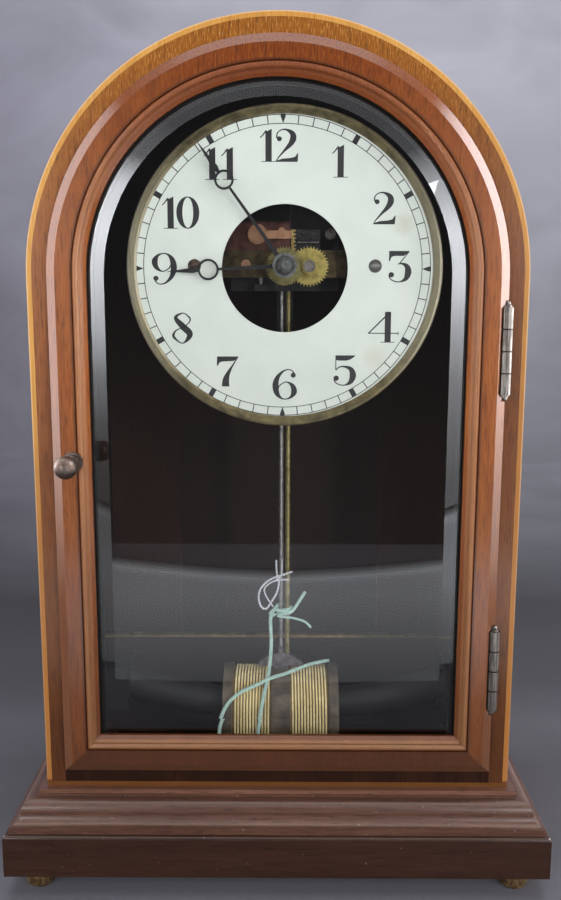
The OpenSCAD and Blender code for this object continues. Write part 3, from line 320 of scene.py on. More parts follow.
def glyph(digit):
    """Faces of a numeral one unit high, as lists of (x, z), and its width."""
    if digit == "0":
        return ring(.35, .5, (.35, .5), (.165, .468)), .70
    if digit == "1":
        return ([[(.17, .02), (.36, .02), (.36, 1.0), (.17, .90)],
                 [(.05, 0), (.48, 0), (.48, .022), (.05, .022)]]
                + stroke([(.01, .73, .03), (.08, .80, .035), (.20, .95, .05)])), .48
    if digit == "2":
        return (stroke([(.075, .72, .05), (.085, .86, .035), (.20, .965, .035), (.36, .975, .06),
                        (.53, .87, .15), (.565, .72, .19), (.49, .55, .15), (.30, .34, .07),
                        (.12, .13, .035), (.06, .03, .03)])
                + [disc(.15, .70, .075),
                   [(.03, 0), (.70, 0), (.72, .27), (.70, .27), (.62, .155), (.47, .115),
                    (.25, .10), (.05, .035)]]), .72
    if digit == "3":
        return ([[(.05, .985), (.68, .985), (.66, .95), (.50, .83), (.22, .83), (.13, .80),
                  (.075, .66), (.05, .66)], disc(.13, .235, .085)]
                + stroke([(.66, .965, .03), (.36, .575, .03)], 1)
                + stroke([(.33, .57, .03), (.46, .585, .06), (.60, .50, .15), (.645, .32, .20)]
                         + BOWL)), .74
    if digit == "4":
        return ([[(0, .285), (.95, .285), (.95, .315), (0, .315)],
                 [(.52, .02), (.71, .02), (.71, .99), (.52, .99)],
                 [(.40, 0), (.83, 0), (.83, .022), (.40, .022)],
                 [(.925, .25), (.95, .25), (.95, .36), (.925, .33)]]
                + stroke([(.68, .99, .045), (.02, .30, .04)], 1)), .95
    if digit == "5":
        return ([[(.10, .985), (.72, .985), (.70, .95), (.58, .86), (.45, .815), (.20, .815),
                  (.10, .84)], disc(.13, .24, .085)]
                + stroke([(.115, .98, .03), (.115, .50, .03)], 1)
                + stroke([(.115, .50, .03), (.22, .60, .04), (.38, .62, .06), (.58, .54, .14),
                          (.65, .33, .20)] + BOWL)), .76
    if digit == "6":
        return stroke(SIX) + [disc(.655, .80, .08)], .76
    if digit == "7":
        return ([[(.03, .985), (.70, .985), (.69, .95), (.55, .84), (.25, .82), (.12, .80),
                  (.045, .68), (.02, .68)]]
                + stroke([(.68, .97, .03), (.52, .70, .05), (.38, .45, .12), (.30, .22, .20),
                          (.29, 0, .24)])), .72
    if digit == "8":
        return stroke([(.62, .80, .05), (.58, .86, .05), (.40, .985, .035), (.17, .84, .11),
                       (.38, .56, .20), (.60, .30, .19), (.38, .015, .035), (.10, .22, .08),
                       (.17, .42, .045), (.38, .52, .03), (.58, .68, .035),
                       (.62, .80, .05)]), .70
    return [[(.76 - x, 1 - z) for x, z in face] for face in glyph("6")[0]], .76


def make_print():
    """Numerals, minute track, hour blocks and quarter marks on the dial."""
    faces = []
    centres = {12: (-2.7, 52.5), 1: (24.4, 45.8), 2: (44.4, 25.5), 3: (51.9, -0.1),
               4: (45.2, -27.4), 5: (27.6, -47.2), 6: (0, -53.8), 7: (-26.2, -47.8),
               8: (-47.2, -28.1), 9: (-54.5, -1.4), 10: (-46.9, 23.4), 11: (-28.9, 44.7)}
    wide, tall = 14.8, 14.1
    for number, (cx, cz) in centres.items():
        text, x, placed = str(number), 0.0, []
        for k, digit in enumerate(text):
            shapes, width = glyph(digit)
            placed += [[(x + px, pz) for px, pz in face] for face in shapes]
            end = x + width
            x += 0.53 if text == "11" else 0.44
        for face in placed:
            faces.append([(cx + (px - end / 2) * wide, cz + (pz - 0.5) * tall)
                          for px, pz in face])
    for r in (63.12, 66.9):
        faces += ring(-0.9, -1.25, (r + 0.17, r + 0.17), (r - 0.17, r - 0.17), 240)
    for k in range(60):
        a = math.radians(6 * k)
        out, side = Vector((math.sin(a), math.cos(a))), Vector((math.cos(a), -math.sin(a)))
        if k % 15 == 0:
            shape = ((63.1, 0), (66.2, 1.15), (67.2, 0.9), (67.2, -0.9), (66.2, -1.15))
        elif k % 5 == 0:
            shape = ((63.1, 1.2), (66.9, 1.2), (66.9, -1.2), (63.1, -1.2))
        else:
            shape = ((63.1, 0.22), (66.9, 0.22), (66.9, -0.22), (63.1, -0.22))
        faces.append([tuple(Vector((-0.9, -1.25)) + out * r + side * s) for r, s in shape])
    verts, polys = [], []
    for face in faces:
        area = sum(a[0] * b[1] - b[0] * a[1] for a, b in zip(face, face[1:] + face[:1]))
        if abs(area) < 1e-9:
            continue
        points = face if area > 0 else face[::-1]
        polys.append(tuple(range(len(verts), len(verts) + len(points))))
        verts += [(HAND_X + x * MM, PRINT_Y, HAND_Z + z * MM) for x, z in points]
    mesh = add_mesh("dial_print", verts, polys, smooth=False)
    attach(mesh, "case")
    return mesh


dial_print = make_print()


# ---------------------------------------------------------------- material helpers
class Shade:
    """A Principled material whose other nodes are added one call at a time."""

    def __init__(self, name, **sockets):
        self.mat = bpy.data.materials.new(name)
        self.mat.use_nodes = True
        self.tree = self.mat.node_tree
        self.tree.nodes.clear()
        self.out = self.tree.nodes.new("ShaderNodeOutputMaterial")
        self.bsdf = self.tree.nodes.new("ShaderNodeBsdfPrincipled")
        self.surface(self.bsdf.outputs[0])
        self.spot = self.tree.nodes.new("ShaderNodeTexCoord").outputs["Object"]
        for key, value in sockets.items():
            label = key.replace("_", " ").title().replace("Ior", "IOR")
            self.bsdf.inputs[label].default_value = value

    def surface(self, shader):
        self.tree.links.new(shader, self.out.inputs["Surface"])

    def node(self, kind, inputs, out=0, **facts):
        """Adds a node and returns its output; an input is a number, a colour or a socket."""
        n = self.tree.nodes.new("ShaderNode" + kind)
        for key, value in facts.items():
            setattr(n, key, value)
        for key, value in inputs.items():
            if isinstance(value, bpy.types.NodeSocket):
                self.tree.links.new(value, n.inputs[key])
            else:
                n.inputs[key].default_value = value
        return n.outputs[out]

    def scaled(self, x, y, z):
        return self.node("Mapping", {"Vector": self.spot, "Scale": (x, y, z)})

    def noise(self, vector, detail=2.0, rough=0.5, wobble=0.0):
        return self.node("TexNoise", {"Vector": vector, "Scale": 1.0, "Detail": detail,
                                      "Roughness": rough, "Distortion": wobble})

    def math(self, op, a, b=0.0):
        return self.node("Math", {0: a, 1: b}, operation=op)

    def span(self, value, low, high, to_low=0.0, to_high=1.0):
        """to_low up to low, to_high from high on, and in between in proportion."""
        return self.node("MapRange", {"Value": value, "From Min": low, "From Max": high,
                                      "To Min": to_low, "To Max": to_high})

    def mix(self, factor, a, b, blend="MIX"):
        def full(c):
            return (*c, 1.0) if isinstance(c, tuple) and len(c) == 3 else c
        return self.node("Mix", {0: factor, 6: full(a), 7: full(b)}, 2,
                         data_type="RGBA", blend_type=blend)

    def ramp(self, value, *stops):
        """Colour ramp through (place, colour or grey) stops."""
        n = self.tree.nodes.new("ShaderNodeValToRGB")
        self.tree.links.new(value, n.inputs[0])
        band = n.color_ramp.elements
        while len(band) < len(stops):
            band.new(0.5)
        for stop, (at, colour) in zip(band, stops):
            stop.position = at
            stop.color = (*colour, 1) if isinstance(colour, tuple) else (colour,) * 3 + (1,)
        return n.outputs[0]

    def axis(self, index):
        return self.node("SeparateXYZ", {0: self.spot}, index)

    def link(self, socket, name):
        self.tree.links.new(socket, self.bsdf.inputs[name])

    def bump(self, height, distance, strength=1.0):
        self.link(self.node("Bump", {"Height": height, "Distance": distance,
                                     "Strength": strength}), "Normal")


def paint(mat, *pieces):
    """Gives the material to pieces, or to CAD nodes by name."""
    for piece in pieces:
        obj = nodes[piece] if isinstance(piece, str) else piece
        if not obj.material_slots:
            obj.data.materials.append(mat)
        for slot in obj.material_slots:
            slot.material = mat


def stretched(s, along, across, lengthwise):
    """Coordinates for a texture whose grain runs along one axis."""
    size = {"X": (lengthwise, across, across), "Y": (across, lengthwise, across),
            "Z": (across, across, lengthwise)}[along]
    return s.scaled(*size)


def arch_radius(s):
    """Distance from the arch's axis, or from the middle plane below its centre."""
    high = s.math("MAXIMUM", s.math("SUBTRACT", s.axis(2), ARCH_Z), 0.0)
    return s.math("SQRT", s.math("ADD", s.math("POWER", s.axis(0), 2.0),
                                 s.math("POWER", high, 2.0)))


def wood(name, dark, mid, light, along="Z", coat=0.5, rough=0.42, pore=0.55, dust=0.0,
         crown=None, inside=None, shade=None, polish=None):
    """Polished wood: figure, streaks and pores along one axis, with a clear polish."""
    s = Shade(name, coat_weight=coat, coat_roughness=0.16, specular_ior_level=0.1)
    figure = s.noise(stretched(s, along, 60, 6), 4, 0.55, 0.6)
    streak = s.noise(stretched(s, along, 1300, 60), 2, 0.6)
    pores = s.noise(stretched(s, along, 2200, 130), 1, 0.5)
    tone = s.math("ADD", s.math("MULTIPLY", figure, 0.6), s.math("MULTIPLY", streak, 0.4))
    colour = s.ramp(tone, (0.30, dark), (0.5, mid), (0.70, light))
    if crown:
        fleck = s.ramp(s.noise(stretched(s, along, 2300, 330), 2, 0.55), (0.36, crown[0]),
                       (0.56, crown[1]), (0.74, crown[2]))
        colour = s.mix(s.span(s.axis(2), 0.29, 0.375), colour, fleck)
    hole = s.ramp(pores, (0.56, 0.0), (0.70, 1.0))
    colour = s.mix(s.math("MULTIPLY", hole, pore), colour, tuple(0.25 * c for c in dark))
    if shade:
        colour = shade(s, colour)
    if dust:
        speck = s.ramp(s.noise(s.scaled(620, 620, 620), 1, 0.5), (0.76, 0.0), (0.79, 1.0))
        colour = s.mix(s.math("MULTIPLY", speck, dust), colour, (0.5, 0.46, 0.44))
    if inside:
        colour = s.mix(inside(s), colour, (0.012, 0.009, 0.008))
    s.link(colour, "Base Color")
    s.link(s.span(streak, 0.3, 0.7, rough - 0.06, rough + 0.1), "Roughness")
    if polish:
        s.link(polish(s), "Coat Roughness")
    s.bump(s.math("SUBTRACT", s.math("MULTIPLY", streak, 0.35), hole), 0.00008, 0.35)
    return s.mat


def metal(name, bright, dull, rough=0.3, patch=160.0, spread=(0.40, 0.62), pits=0.25,
          grain=None, coat=0.0, fleck=None):
    """Aged metal: dull and bright patches, fine pits, and brushed lines where grain is given."""
    s = Shade(name, metallic=1.0, coat_weight=coat)
    stain = s.noise(s.scaled(patch, patch, patch), 5, 0.6, 0.3)
    mask = s.ramp(stain, (spread[0], 0.0), (spread[1], 1.0))
    colour = s.mix(mask, bright, dull)
    fine = s.noise(grain and s.scaled(*grain) or s.scaled(2600, 2600, 2600), 2, 0.6)
    spots = s.ramp(fine, (0.58, 0.0), (0.72, 1.0))
    colour = s.mix(s.math("MULTIPLY", spots, pits), colour, tuple(0.3 * c for c in dull))
    if fleck:
        colour = fleck(s, colour)
    s.link(colour, "Base Color")
    s.link(s.span(stain, 0.3, 0.7, rough, rough + 0.22), "Roughness")
    s.bump(fine, 0.00003, 0.4)
    return s.mat


def enamel(name, colour, other, rough=0.4, patch=300.0, grainy=0.00004, **sockets):
    """Paint, rubber or varnish: slow colour change, fine texture and uneven gloss."""
    s = Shade(name, **sockets)
    slow = s.noise(s.scaled(patch, patch, patch), 4, 0.6)
    fine = s.noise(s.scaled(2400, 2400, 2400), 2, 0.6)
    s.link(s.mix(s.span(slow, 0.3, 0.7), colour, other), "Base Color")
    s.link(s.span(fine, 0.3, 0.7, rough - 0.08, rough + 0.12), "Roughness")
    s.bump(fine, grainy, 0.5)
    return s.mat


def fibre(name, pale, deep, pitch, sheen=0.3, rough=0.75):
    """Spun thread: fine hairs and soft colour change, with sheen."""
    s = Shade(name, roughness=rough, sheen_weight=sheen, sheen_roughness=0.4)
    hair = s.noise(s.scaled(pitch, pitch, pitch), 3, 0.7, 0.8)
    slow = s.noise(s.scaled(180, 180, 180), 2)
    both = s.math("ADD", s.math("MULTIPLY", hair, 0.7), s.math("MULTIPLY", slow, 0.3))
    s.link(s.ramp(both, (0.36, deep), (0.62, pale)), "Base Color")
    s.bump(hair, 0.00008, 0.7)
    return s.mat


# ---------------------------------------------------------------- wood
RED = ((0.15, 0.040, 0.010), (0.28, 0.090, 0.021), (0.39, 0.140, 0.036))
GOLD = ((0.25, 0.075, 0.007), (0.34, 0.118, 0.012), (0.58, 0.30, 0.08))
BROWN = ((0.021, 0.009, 0.005), (0.035, 0.014, 0.008), (0.053, 0.022, 0.012))


DOOR_R, DOOR_FOOT = 0.0995, 0.0555      # the door's outer half width and its lower edge
SHELL_INNER_R, STRING_PALE_R = 0.1002, 0.1085


def case_shade(s, colour):
    """Painted shade: lower down, and on the right, the case is darker and browner."""
    low = s.span(s.axis(2), 0.26, 0.07, 0.0, 0.82)
    right = s.math("MULTIPLY", s.span(s.axis(0), 0.02, 0.1),
                   s.span(s.axis(2), 0.36, 0.25, 0.2, 0.55))
    return s.mix(s.math("MAXIMUM", low, right), colour, (0.046, 0.015, 0.005))


def door_inset(s):
    """Distance inwards from the door's edge."""
    return s.math("MINIMUM", s.math("SUBTRACT", DOOR_R, arch_radius(s)),
                  s.math("SUBTRACT", s.axis(2), DOOR_FOOT))


def door_shade(s, colour):
    """Painted shade low down, in the groove and on the bottom member's foot, painted highlights on
    the lower chamfer and on the bead, and painted shadow beside the knuckles.
    """
    inset, side, up = door_inset(s), s.axis(0), s.axis(2)
    # Painted shade: the door darkens towards its lower part.
    low = s.span(up, 0.24, 0.06, 0.0, 0.72)
    colour = s.mix(low, colour, (0.070, 0.027, 0.014))
    # Painted highlight: a tan band on the bead, below the arch.
    bead = s.math("MULTIPLY", s.span(inset, 0.0113, 0.0121), s.span(inset, 0.0152, 0.0145))
    colour = s.mix(s.math("MULTIPLY", bead, s.span(up, 0.37, 0.30, 0.0, 0.30)), colour,
                   (0.44, 0.22, 0.085))
    # Painted highlight: a pale tint on the lower part of the outer chamfer.
    chamfer_highlight = s.math("MULTIPLY", s.math("LESS_THAN", inset, 0.0039),
                  s.span(up, 0.26, 0.18, 0.0, 0.22))
    colour = s.mix(chamfer_highlight, colour, (0.30, 0.15, 0.085))
    # Painted shade on the lowest centimetre of the bottom member, which faces down.
    below = s.math("LESS_THAN", s.math("SUBTRACT", up, DOOR_FOOT),
                   s.math("SUBTRACT", DOOR_R, s.math("ABSOLUTE", side)))
    foot_shade = s.math("MULTIPLY", s.span(up, 0.0665, 0.0655), below)
    colour = s.mix(s.math("MULTIPLY", foot_shade, 0.55), colour, (0.030, 0.009, 0.004))
    # Painted shade in the groove.
    away = s.math("ABSOLUTE", s.math("SUBTRACT", inset, 0.0108))
    colour = s.mix(s.span(away, 0.0011, 0.0003, 0.0, 0.65), colour, (0.045, 0.014, 0.006))
    # Painted shadow on the door's edge beside the hinge knuckles.
    knuckle_shadow = s.math("MULTIPLY", s.span(side, 0.0962, 0.0966), s.math(
        "LESS_THAN", hinge_height(s), 0.0186))
    return s.mix(s.math("MULTIPLY", knuckle_shadow, 0.9), colour, (0.010, 0.006, 0.005))


def door_polish(s):
    """The bead next to the groove is duller than the rest of the door."""
    inset = door_inset(s)
    bead = s.math("MULTIPLY", s.span(inset, 0.0110, 0.0118), s.span(inset, 0.0156, 0.0148))
    return s.span(bead, 0.0, 1.0, 0.18, 0.38)


def hinge_height(s):
    """Distance up or down from the middle of the nearer hinge."""
    upper = s.math("GREATER_THAN", s.axis(2), 0.18)
    middle = s.math("ADD", 0.106, s.math("MULTIPLY", upper, 0.146))
    return s.math("ABSOLUTE", s.math("SUBTRACT", s.axis(2), middle))


def string_shade(s, colour):
    """Painted shade keeps the stringing palest on the left and over the arch, darker on the right,
    low down and along the bottom, and a painted highlight gives it a pale outer edge.
    """
    # Painted shade: darker on the right below the arch, and lower down.
    right = s.math("MULTIPLY", s.math("GREATER_THAN", s.axis(0), 0.0),
                   s.span(s.axis(2), 0.36, 0.22, 0.0, 0.7))
    low = s.math("MAXIMUM", s.span(s.axis(2), 0.25, 0.16, 0.0, 0.75), right)
    colour = s.mix(low, colour, (0.30, 0.105, 0.028))
    # Painted highlight: the outer edge is pale, more so higher up.
    edge = s.math("MULTIPLY", s.math("GREATER_THAN", arch_radius(s), STRING_PALE_R),
                  s.span(s.axis(2), 0.12, 0.26, 0.1, 0.5))
    colour = s.mix(edge, colour, (0.90, 0.66, 0.38))
    # Painted shade: the bottom run is darker still.
    return s.mix(s.span(s.axis(2), 0.0495, 0.0485, 0.0, 0.78), colour, (0.06, 0.018, 0.005))


def shell_inside(s):
    """The case's inner faces."""
    return s.math("LESS_THAN", arch_radius(s), SHELL_INNER_R)


def front_of(depth):
    """The faces in front of this depth, which are seen inside the case."""
    return lambda s: s.math("MULTIPLY", s.math("LESS_THAN", s.axis(1), depth), 0.93)


def moulding_polish(s):
    """The moulding's round lower part shines more than what is above it."""
    return s.span(s.axis(2), 0.030, 0.033, 0.20, 0.27)


paint(wood("case_wood", *RED, crown=GOLD, inside=shell_inside, shade=case_shade), "case_shell")
# The bottom rail is a much darker copy of the case's wood: painted shade.
paint(wood("rail_wood_painted_shade", (0.012, 0.004, 0.002), (0.022, 0.007, 0.003), (0.036, 0.012, 0.005),
           coat=0.2), "case_bottom_rail")
paint(wood("door_wood", (0.17, 0.036, 0.005), (0.30, 0.078, 0.009), (0.41, 0.128, 0.018),
           crown=((0.16, 0.030, 0.003), (0.22, 0.049, 0.004), (0.29, 0.078, 0.007)),
           coat=0.9, rough=0.34, shade=door_shade, polish=door_polish), "door_frame")
paint(wood("stringing_wood", (0.56, 0.24, 0.045), (0.66, 0.32, 0.070), (0.76, 0.41, 0.12),
           coat=0.3, pore=0.2, shade=string_shade), "front_stringing")
paint(wood("slab_wood", *BROWN, along="X", coat=0.5, rough=0.45, pore=0.3, dust=0.2), "plinth_slab")
paint(wood("moulding_wood", (0.060, 0.026, 0.015), (0.100, 0.044, 0.027), (0.145, 0.068, 0.044),
           along="X", coat=0.8, rough=0.42, dust=0.4, polish=moulding_polish), "plinth_moulding")
paint(wood("cap_wood", (0.110, 0.046, 0.027), (0.165, 0.074, 0.045), (0.23, 0.108, 0.068),
           along="X", coat=0.8, rough=0.4, dust=0.3), "plinth_cap")
paint(wood("board_wood", (0.016, 0.009, 0.007), (0.028, 0.015, 0.011), (0.045, 0.024, 0.017),
           along="X", coat=0.1, rough=0.6), "plinth_board", "battery_board")
paint(wood("back_wood", *RED, coat=0.25, rough=0.5, inside=front_of(0.0765)), "back_board")
paint(wood("panel_wood", (0.08, 0.028, 0.014), (0.16, 0.056, 0.026), (0.25, 0.095, 0.042),
           coat=0.25, rough=0.5, inside=front_of(0.0785)), "rear_panel")
paint(enamel("stop_stain", (0.010, 0.009, 0.009), (0.022, 0.016, 0.013), 0.55), "door_stop")
paint(enamel("bead_putty", (0.006, 0.006, 0.006), (0.014, 0.012, 0.011), 0.5), "glass_bead")


# ---------------------------------------------------------------- metal
def worn_ends(s, colour):
    """Hinges: long rubbed streaks, and dark lines where the knuckles meet."""
    rub = s.ramp(s.noise(s.scaled(900, 900, 45), 2, 0.6), (0.50, 0.0), (0.62, 1.0))
    colour = s.mix(s.math("MULTIPLY", rub, 0.5), colour, (0.34, 0.31, 0.27))
    joint = s.math("PINGPONG", hinge_height(s), 0.00475)
    joint = s.math("MULTIPLY", s.span(joint, 0.00034, 0.00022),
                   s.math("LESS_THAN", hinge_height(s), 0.012))
    return s.mix(joint, colour, (0.008, 0.007, 0.006))


def tan_left(s, colour):
    """The screws left of the middle are lacquered copper."""
    return s.mix(s.math("LESS_THAN", s.axis(0), 0.0), colour, (0.46, 0.25, 0.15))


def pale_right(s, colour):
    """The dial's right screw is plain steel."""
    return s.mix(s.math("GREATER_THAN", s.axis(0), 0.0), colour, (0.30, 0.29, 0.27))


def gilt_sides(s, colour):
    """Painted light: the bezel's gilding is painted brighter at its sides."""
    away = s.math("ABSOLUTE", s.math("SUBTRACT", s.axis(0), HAND_X))
    return s.mix(s.span(away, 0.045, 0.070, 0.0, 0.72), colour, (0.76, 0.68, 0.50))


def black_top(s, colour):
    """The upper part of the movement's front plate is blackened."""
    return s.mix(s.span(s.axis(2), 0.3085, 0.3100), colour, (0.010, 0.009, 0.009))


paint(metal("feet_brass", (0.38, 0.25, 0.11), (0.14, 0.085, 0.045), 0.42, 420, (0.36, 0.6), 0.5),
      "feet")
paint(metal("hinge_bronze", (0.118, 0.102, 0.090), (0.085, 0.075, 0.068), 0.34, 300,
            pits=0.15, fleck=worn_ends), "hinge_case_leaves", "hinge_door_leaves", "hinge_pins")
paint(metal("knob_nickel", (0.155, 0.118, 0.102), (0.09, 0.064, 0.050), 0.34, 380,
            (0.40, 0.62), 0.5), "door_knob", "knob_rose")
paint(metal("fitting_brass", (0.62, 0.42, 0.16), (0.32, 0.21, 0.085), 0.3, 260), "back_screws",
      "turn_button", "latch_tongue", "latch_keeper")
paint(metal("edging_brass", (0.85, 0.62, 0.26), (0.5, 0.34, 0.14), 0.3, 90, grain=(60, 900, 900)),
      "brass_edging")
paint(metal("bezel_gilt", (0.40, 0.32, 0.17), (0.17, 0.14, 0.08), 0.3, 120, (0.38, 0.62), 0.4,
            fleck=gilt_sides), "dial_bezel")
paint(metal("screw_copper", (0.27, 0.19, 0.15), (0.10, 0.07, 0.06), 0.3, 500,
            grain=(300, 900, 3000), fleck=pale_right), "dial_screws")
paint(enamel("hand_black", (0.006, 0.006, 0.007), (0.016, 0.015, 0.016), 0.32, coat_weight=0.4),
      "minute_hand", "hour_hand")
paint(metal("boss_steel", (0.34, 0.35, 0.34), (0.14, 0.14, 0.13), 0.26, 500, pits=0.4),
      "hand_nut", "minute_arbor")
paint(metal("rod_steel", (0.62, 0.59, 0.57), (0.34, 0.31, 0.30), 0.36, 240, grain=(900, 900, 60)),
      "steel_rod", "worm_shaft", "contact_lever", "suspension_spring")
paint(metal("hanger_steel", (0.42, 0.36, 0.37), (0.20, 0.17, 0.18), 0.36, 300), "coil_hanger",
      "rating_nut")
paint(metal("screw_steel", (0.36, 0.33, 0.30), (0.15, 0.13, 0.12), 0.28, 400, fleck=tan_left),
      "movement_screws")
paint(metal("rod_brass", (0.62, 0.53, 0.23), (0.35, 0.29, 0.12), 0.36, 200, grain=(900, 900, 60)),
      "brass_rod")
paint(metal("bar_brass", (0.12, 0.09, 0.045), (0.05, 0.036, 0.02), 0.3, 260), "dial_bar")
paint(metal("work_brass", (0.62, 0.46, 0.20), (0.30, 0.21, 0.10), 0.32, 260), "worm_wheel",
      "ratchet_wheel", "pendulum_head")
# The hour wheel's brass is a darker copy of the wheel brass: painted shade.
paint(metal("hour_brass_shaded", (0.40, 0.35, 0.14), (0.20, 0.17, 0.07), 0.3, 300), "hour_wheel")
paint(metal("minute_brass", (0.66, 0.53, 0.17), (0.36, 0.28, 0.09), 0.28, 300), "minute_wheel")
paint(metal("plate_bronze", (0.16, 0.070, 0.055), (0.05, 0.026, 0.022), 0.32, 180,
            fleck=black_top), "contact_plate")
paint(metal("strip_copper", (0.62, 0.34, 0.20), (0.32, 0.16, 0.10), 0.3, 220), "contact_strip")
paint(enamel("plate_black", (0.007, 0.007, 0.008), (0.018, 0.016, 0.016), 0.4), "rear_plate",
      "movement_bracket")
paint(enamel("magnet_black", (0.004, 0.004, 0.005), (0.010, 0.010, 0.010), 0.6), "magnet",
      "magnet_clamps")


def make_ebonite():
    """Black rubber whose left edge is gilt, in a wavy line."""
    s = Shade("ebonite", coat_weight=0.5)
    wave = s.math("ADD", s.axis(0), s.math("MULTIPLY", s.math(
        "SINE", s.math("MULTIPLY", s.axis(2), 3800.0)), 0.0006))
    edge = s.span(wave, 0.0072, 0.0078, 1.0, 0.0)
    fine = s.noise(s.scaled(1800, 1800, 1800), 2)
    s.link(s.mix(edge, s.mix(fine, (0.006, 0.006, 0.006), (0.02, 0.018, 0.017)),
                 (0.62, 0.44, 0.16)), "Base Color")
    s.link(edge, "Metallic")
    s.link(s.span(fine, 0.3, 0.7, 0.2, 0.4), "Roughness")
    s.bump(fine, 0.00005, 0.5)
    return s.mat


paint(make_ebonite(), "insulator_block")


# ---------------------------------------------------------------- dial and glass
def make_dial():
    """Silvered face: nearly white with a green cast, faintly clouded, stained in two places."""
    s = Shade("dial_silver", specular_ior_level=0.4)
    cloud = s.noise(s.scaled(45, 45, 45), 4, 0.6)
    fine = s.noise(s.scaled(1500, 1500, 1500), 2)
    colour = s.ramp(cloud, (0.35, (0.70, 0.745, 0.665)), (0.65, (0.76, 0.80, 0.715)))
    for x, z, size in ((0.0445, 0.2475, 0.007), (0.0565, 0.3075, 0.006), (-0.031, 0.287, 0.006)):
        gone = s.node("VectorMath", {0: s.spot, 1: (x, -0.041, z)}, 1, operation="DISTANCE")
        near = s.span(gone, size, 0.001, 0.0, 0.5)
        colour = s.mix(s.math("MULTIPLY", near, s.span(cloud, 0.4, 0.6)), colour,
                       (0.56, 0.47, 0.33))
    # Painted shade: the face is darker towards the bottom.
    colour = s.mix(s.span(s.axis(2), 0.35, 0.225, 0.0, 0.26), colour, (0.10, 0.10, 0.09))
    s.link(colour, "Base Color")
    s.link(s.span(fine, 0.3, 0.7, 0.42, 0.55), "Roughness")
    s.bump(fine, 0.00002, 0.3)
    return s.mat


def make_glass():
    """Clear plate, faintly grimy, that lets shadow rays through to what is behind it."""
    s = Shade("plate_glass", transmission_weight=1.0, roughness=0.0, ior=1.5)
    grime = s.noise(s.scaled(90, 90, 90), 3)
    s.link(s.ramp(grime, (0.3, (0.985, 0.995, 0.99)), (0.7, (0.965, 0.98, 0.975))), "Base Color")
    clear = s.tree.nodes.new("ShaderNodeBsdfTransparent")
    path = s.tree.nodes.new("ShaderNodeLightPath")
    both = s.tree.nodes.new("ShaderNodeMixShader")
    s.tree.links.new(path.outputs["Is Shadow Ray"], both.inputs[0])
    s.tree.links.new(s.bsdf.outputs[0], both.inputs[1])
    s.tree.links.new(clear.outputs[0], both.inputs[2])
    s.surface(both.outputs[0])
    return s.mat


paint(make_dial(), "dial_plate")
paint(enamel("dial_ink", (0.010, 0.010, 0.011), (0.026, 0.025, 0.025), 0.5, 900), dial_print)
paint(make_glass(), "door_glass")


# ---------------------------------------------------------------- coil, battery and cords
def make_bobbin():
    """Varnished fibre; the inner layers of wire show between the outer loops."""
    s = Shade("bobbin_fibre", coat_weight=0.15, coat_roughness=0.3)
    slow = s.noise(s.scaled(140, 140, 140), 4, 0.6)
    fine = s.noise(s.scaled(1600, 1600, 1600), 2)
    away = s.math("ABSOLUTE", s.math("SUBTRACT", s.axis(0), HAND_X - 0.0015))
    inner = s.math("MULTIPLY", s.math("GREATER_THAN", away, 0.0047),
                   s.math("LESS_THAN", away, 0.0248))
    fibre_tone = s.ramp(slow, (0.35, (0.040, 0.031, 0.022)), (0.65, (0.105, 0.080, 0.052)))
    wire_tone = s.ramp(fine, (0.35, (0.10, 0.062, 0.02)), (0.65, (0.22, 0.14, 0.05)))
    s.link(s.mix(inner, fibre_tone, wire_tone), "Base Color")
    s.link(s.span(fine, 0.3, 0.7, 0.35, 0.6), "Roughness")
    s.bump(fine, 0.00006, 0.6)
    return s.mat


def make_battery():
    """Paper label with a pale band, and brass contact strips above it."""
    s = Shade("battery_case")
    fine = s.noise(s.scaled(1400, 1400, 1400), 3)
    paper = s.ramp(fine, (0.35, (0.025, 0.035, 0.055)), (0.65, (0.045, 0.06, 0.085)))
    height = s.axis(2)
    band = s.math("MULTIPLY", s.math("GREATER_THAN", height, 0.050),
                  s.math("LESS_THAN", height, 0.060))
    top = s.math("GREATER_THAN", height, 0.0701)
    colour = s.mix(band, paper, (0.16, 0.14, 0.10))
    s.link(s.mix(top, colour, (0.16, 0.11, 0.05)), "Base Color")
    s.link(top, "Metallic")
    s.link(s.span(fine, 0.3, 0.7, 0.45, 0.7), "Roughness")
    s.bump(fine, 0.00005, 0.5)
    return s.mat


paint(make_bobbin(), "coil_bobbin")
paint(make_battery(), "battery")
paint(fibre("covered_wire", (0.94, 0.80, 0.43), (0.48, 0.34, 0.13), 1500, 0.25, 0.45), *windings)
paint(fibre("green_twine", (0.56, 0.74, 0.66), (0.26, 0.42, 0.36), 1600), *strings)
paint(fibre("white_thread", (0.76, 0.76, 0.80), (0.46, 0.46, 0.50), 1800), *threads)


# ---------------------------------------------------------------- stage and light
CLOTH_FRONT, CLOTH_HALF, WALL_Y, BEND, WALL_TOP = -0.66, 1.7, 1.45, 0.5, 1.9
LOOK_Y, LOOK_Z = -0.467, 0.275          # where the cloth's tones are laid out from
COOL = (0.94, 0.96, 1.0)                # colour of the soft boxes
CARD_HALF = 0.62                        # half the glow card's width


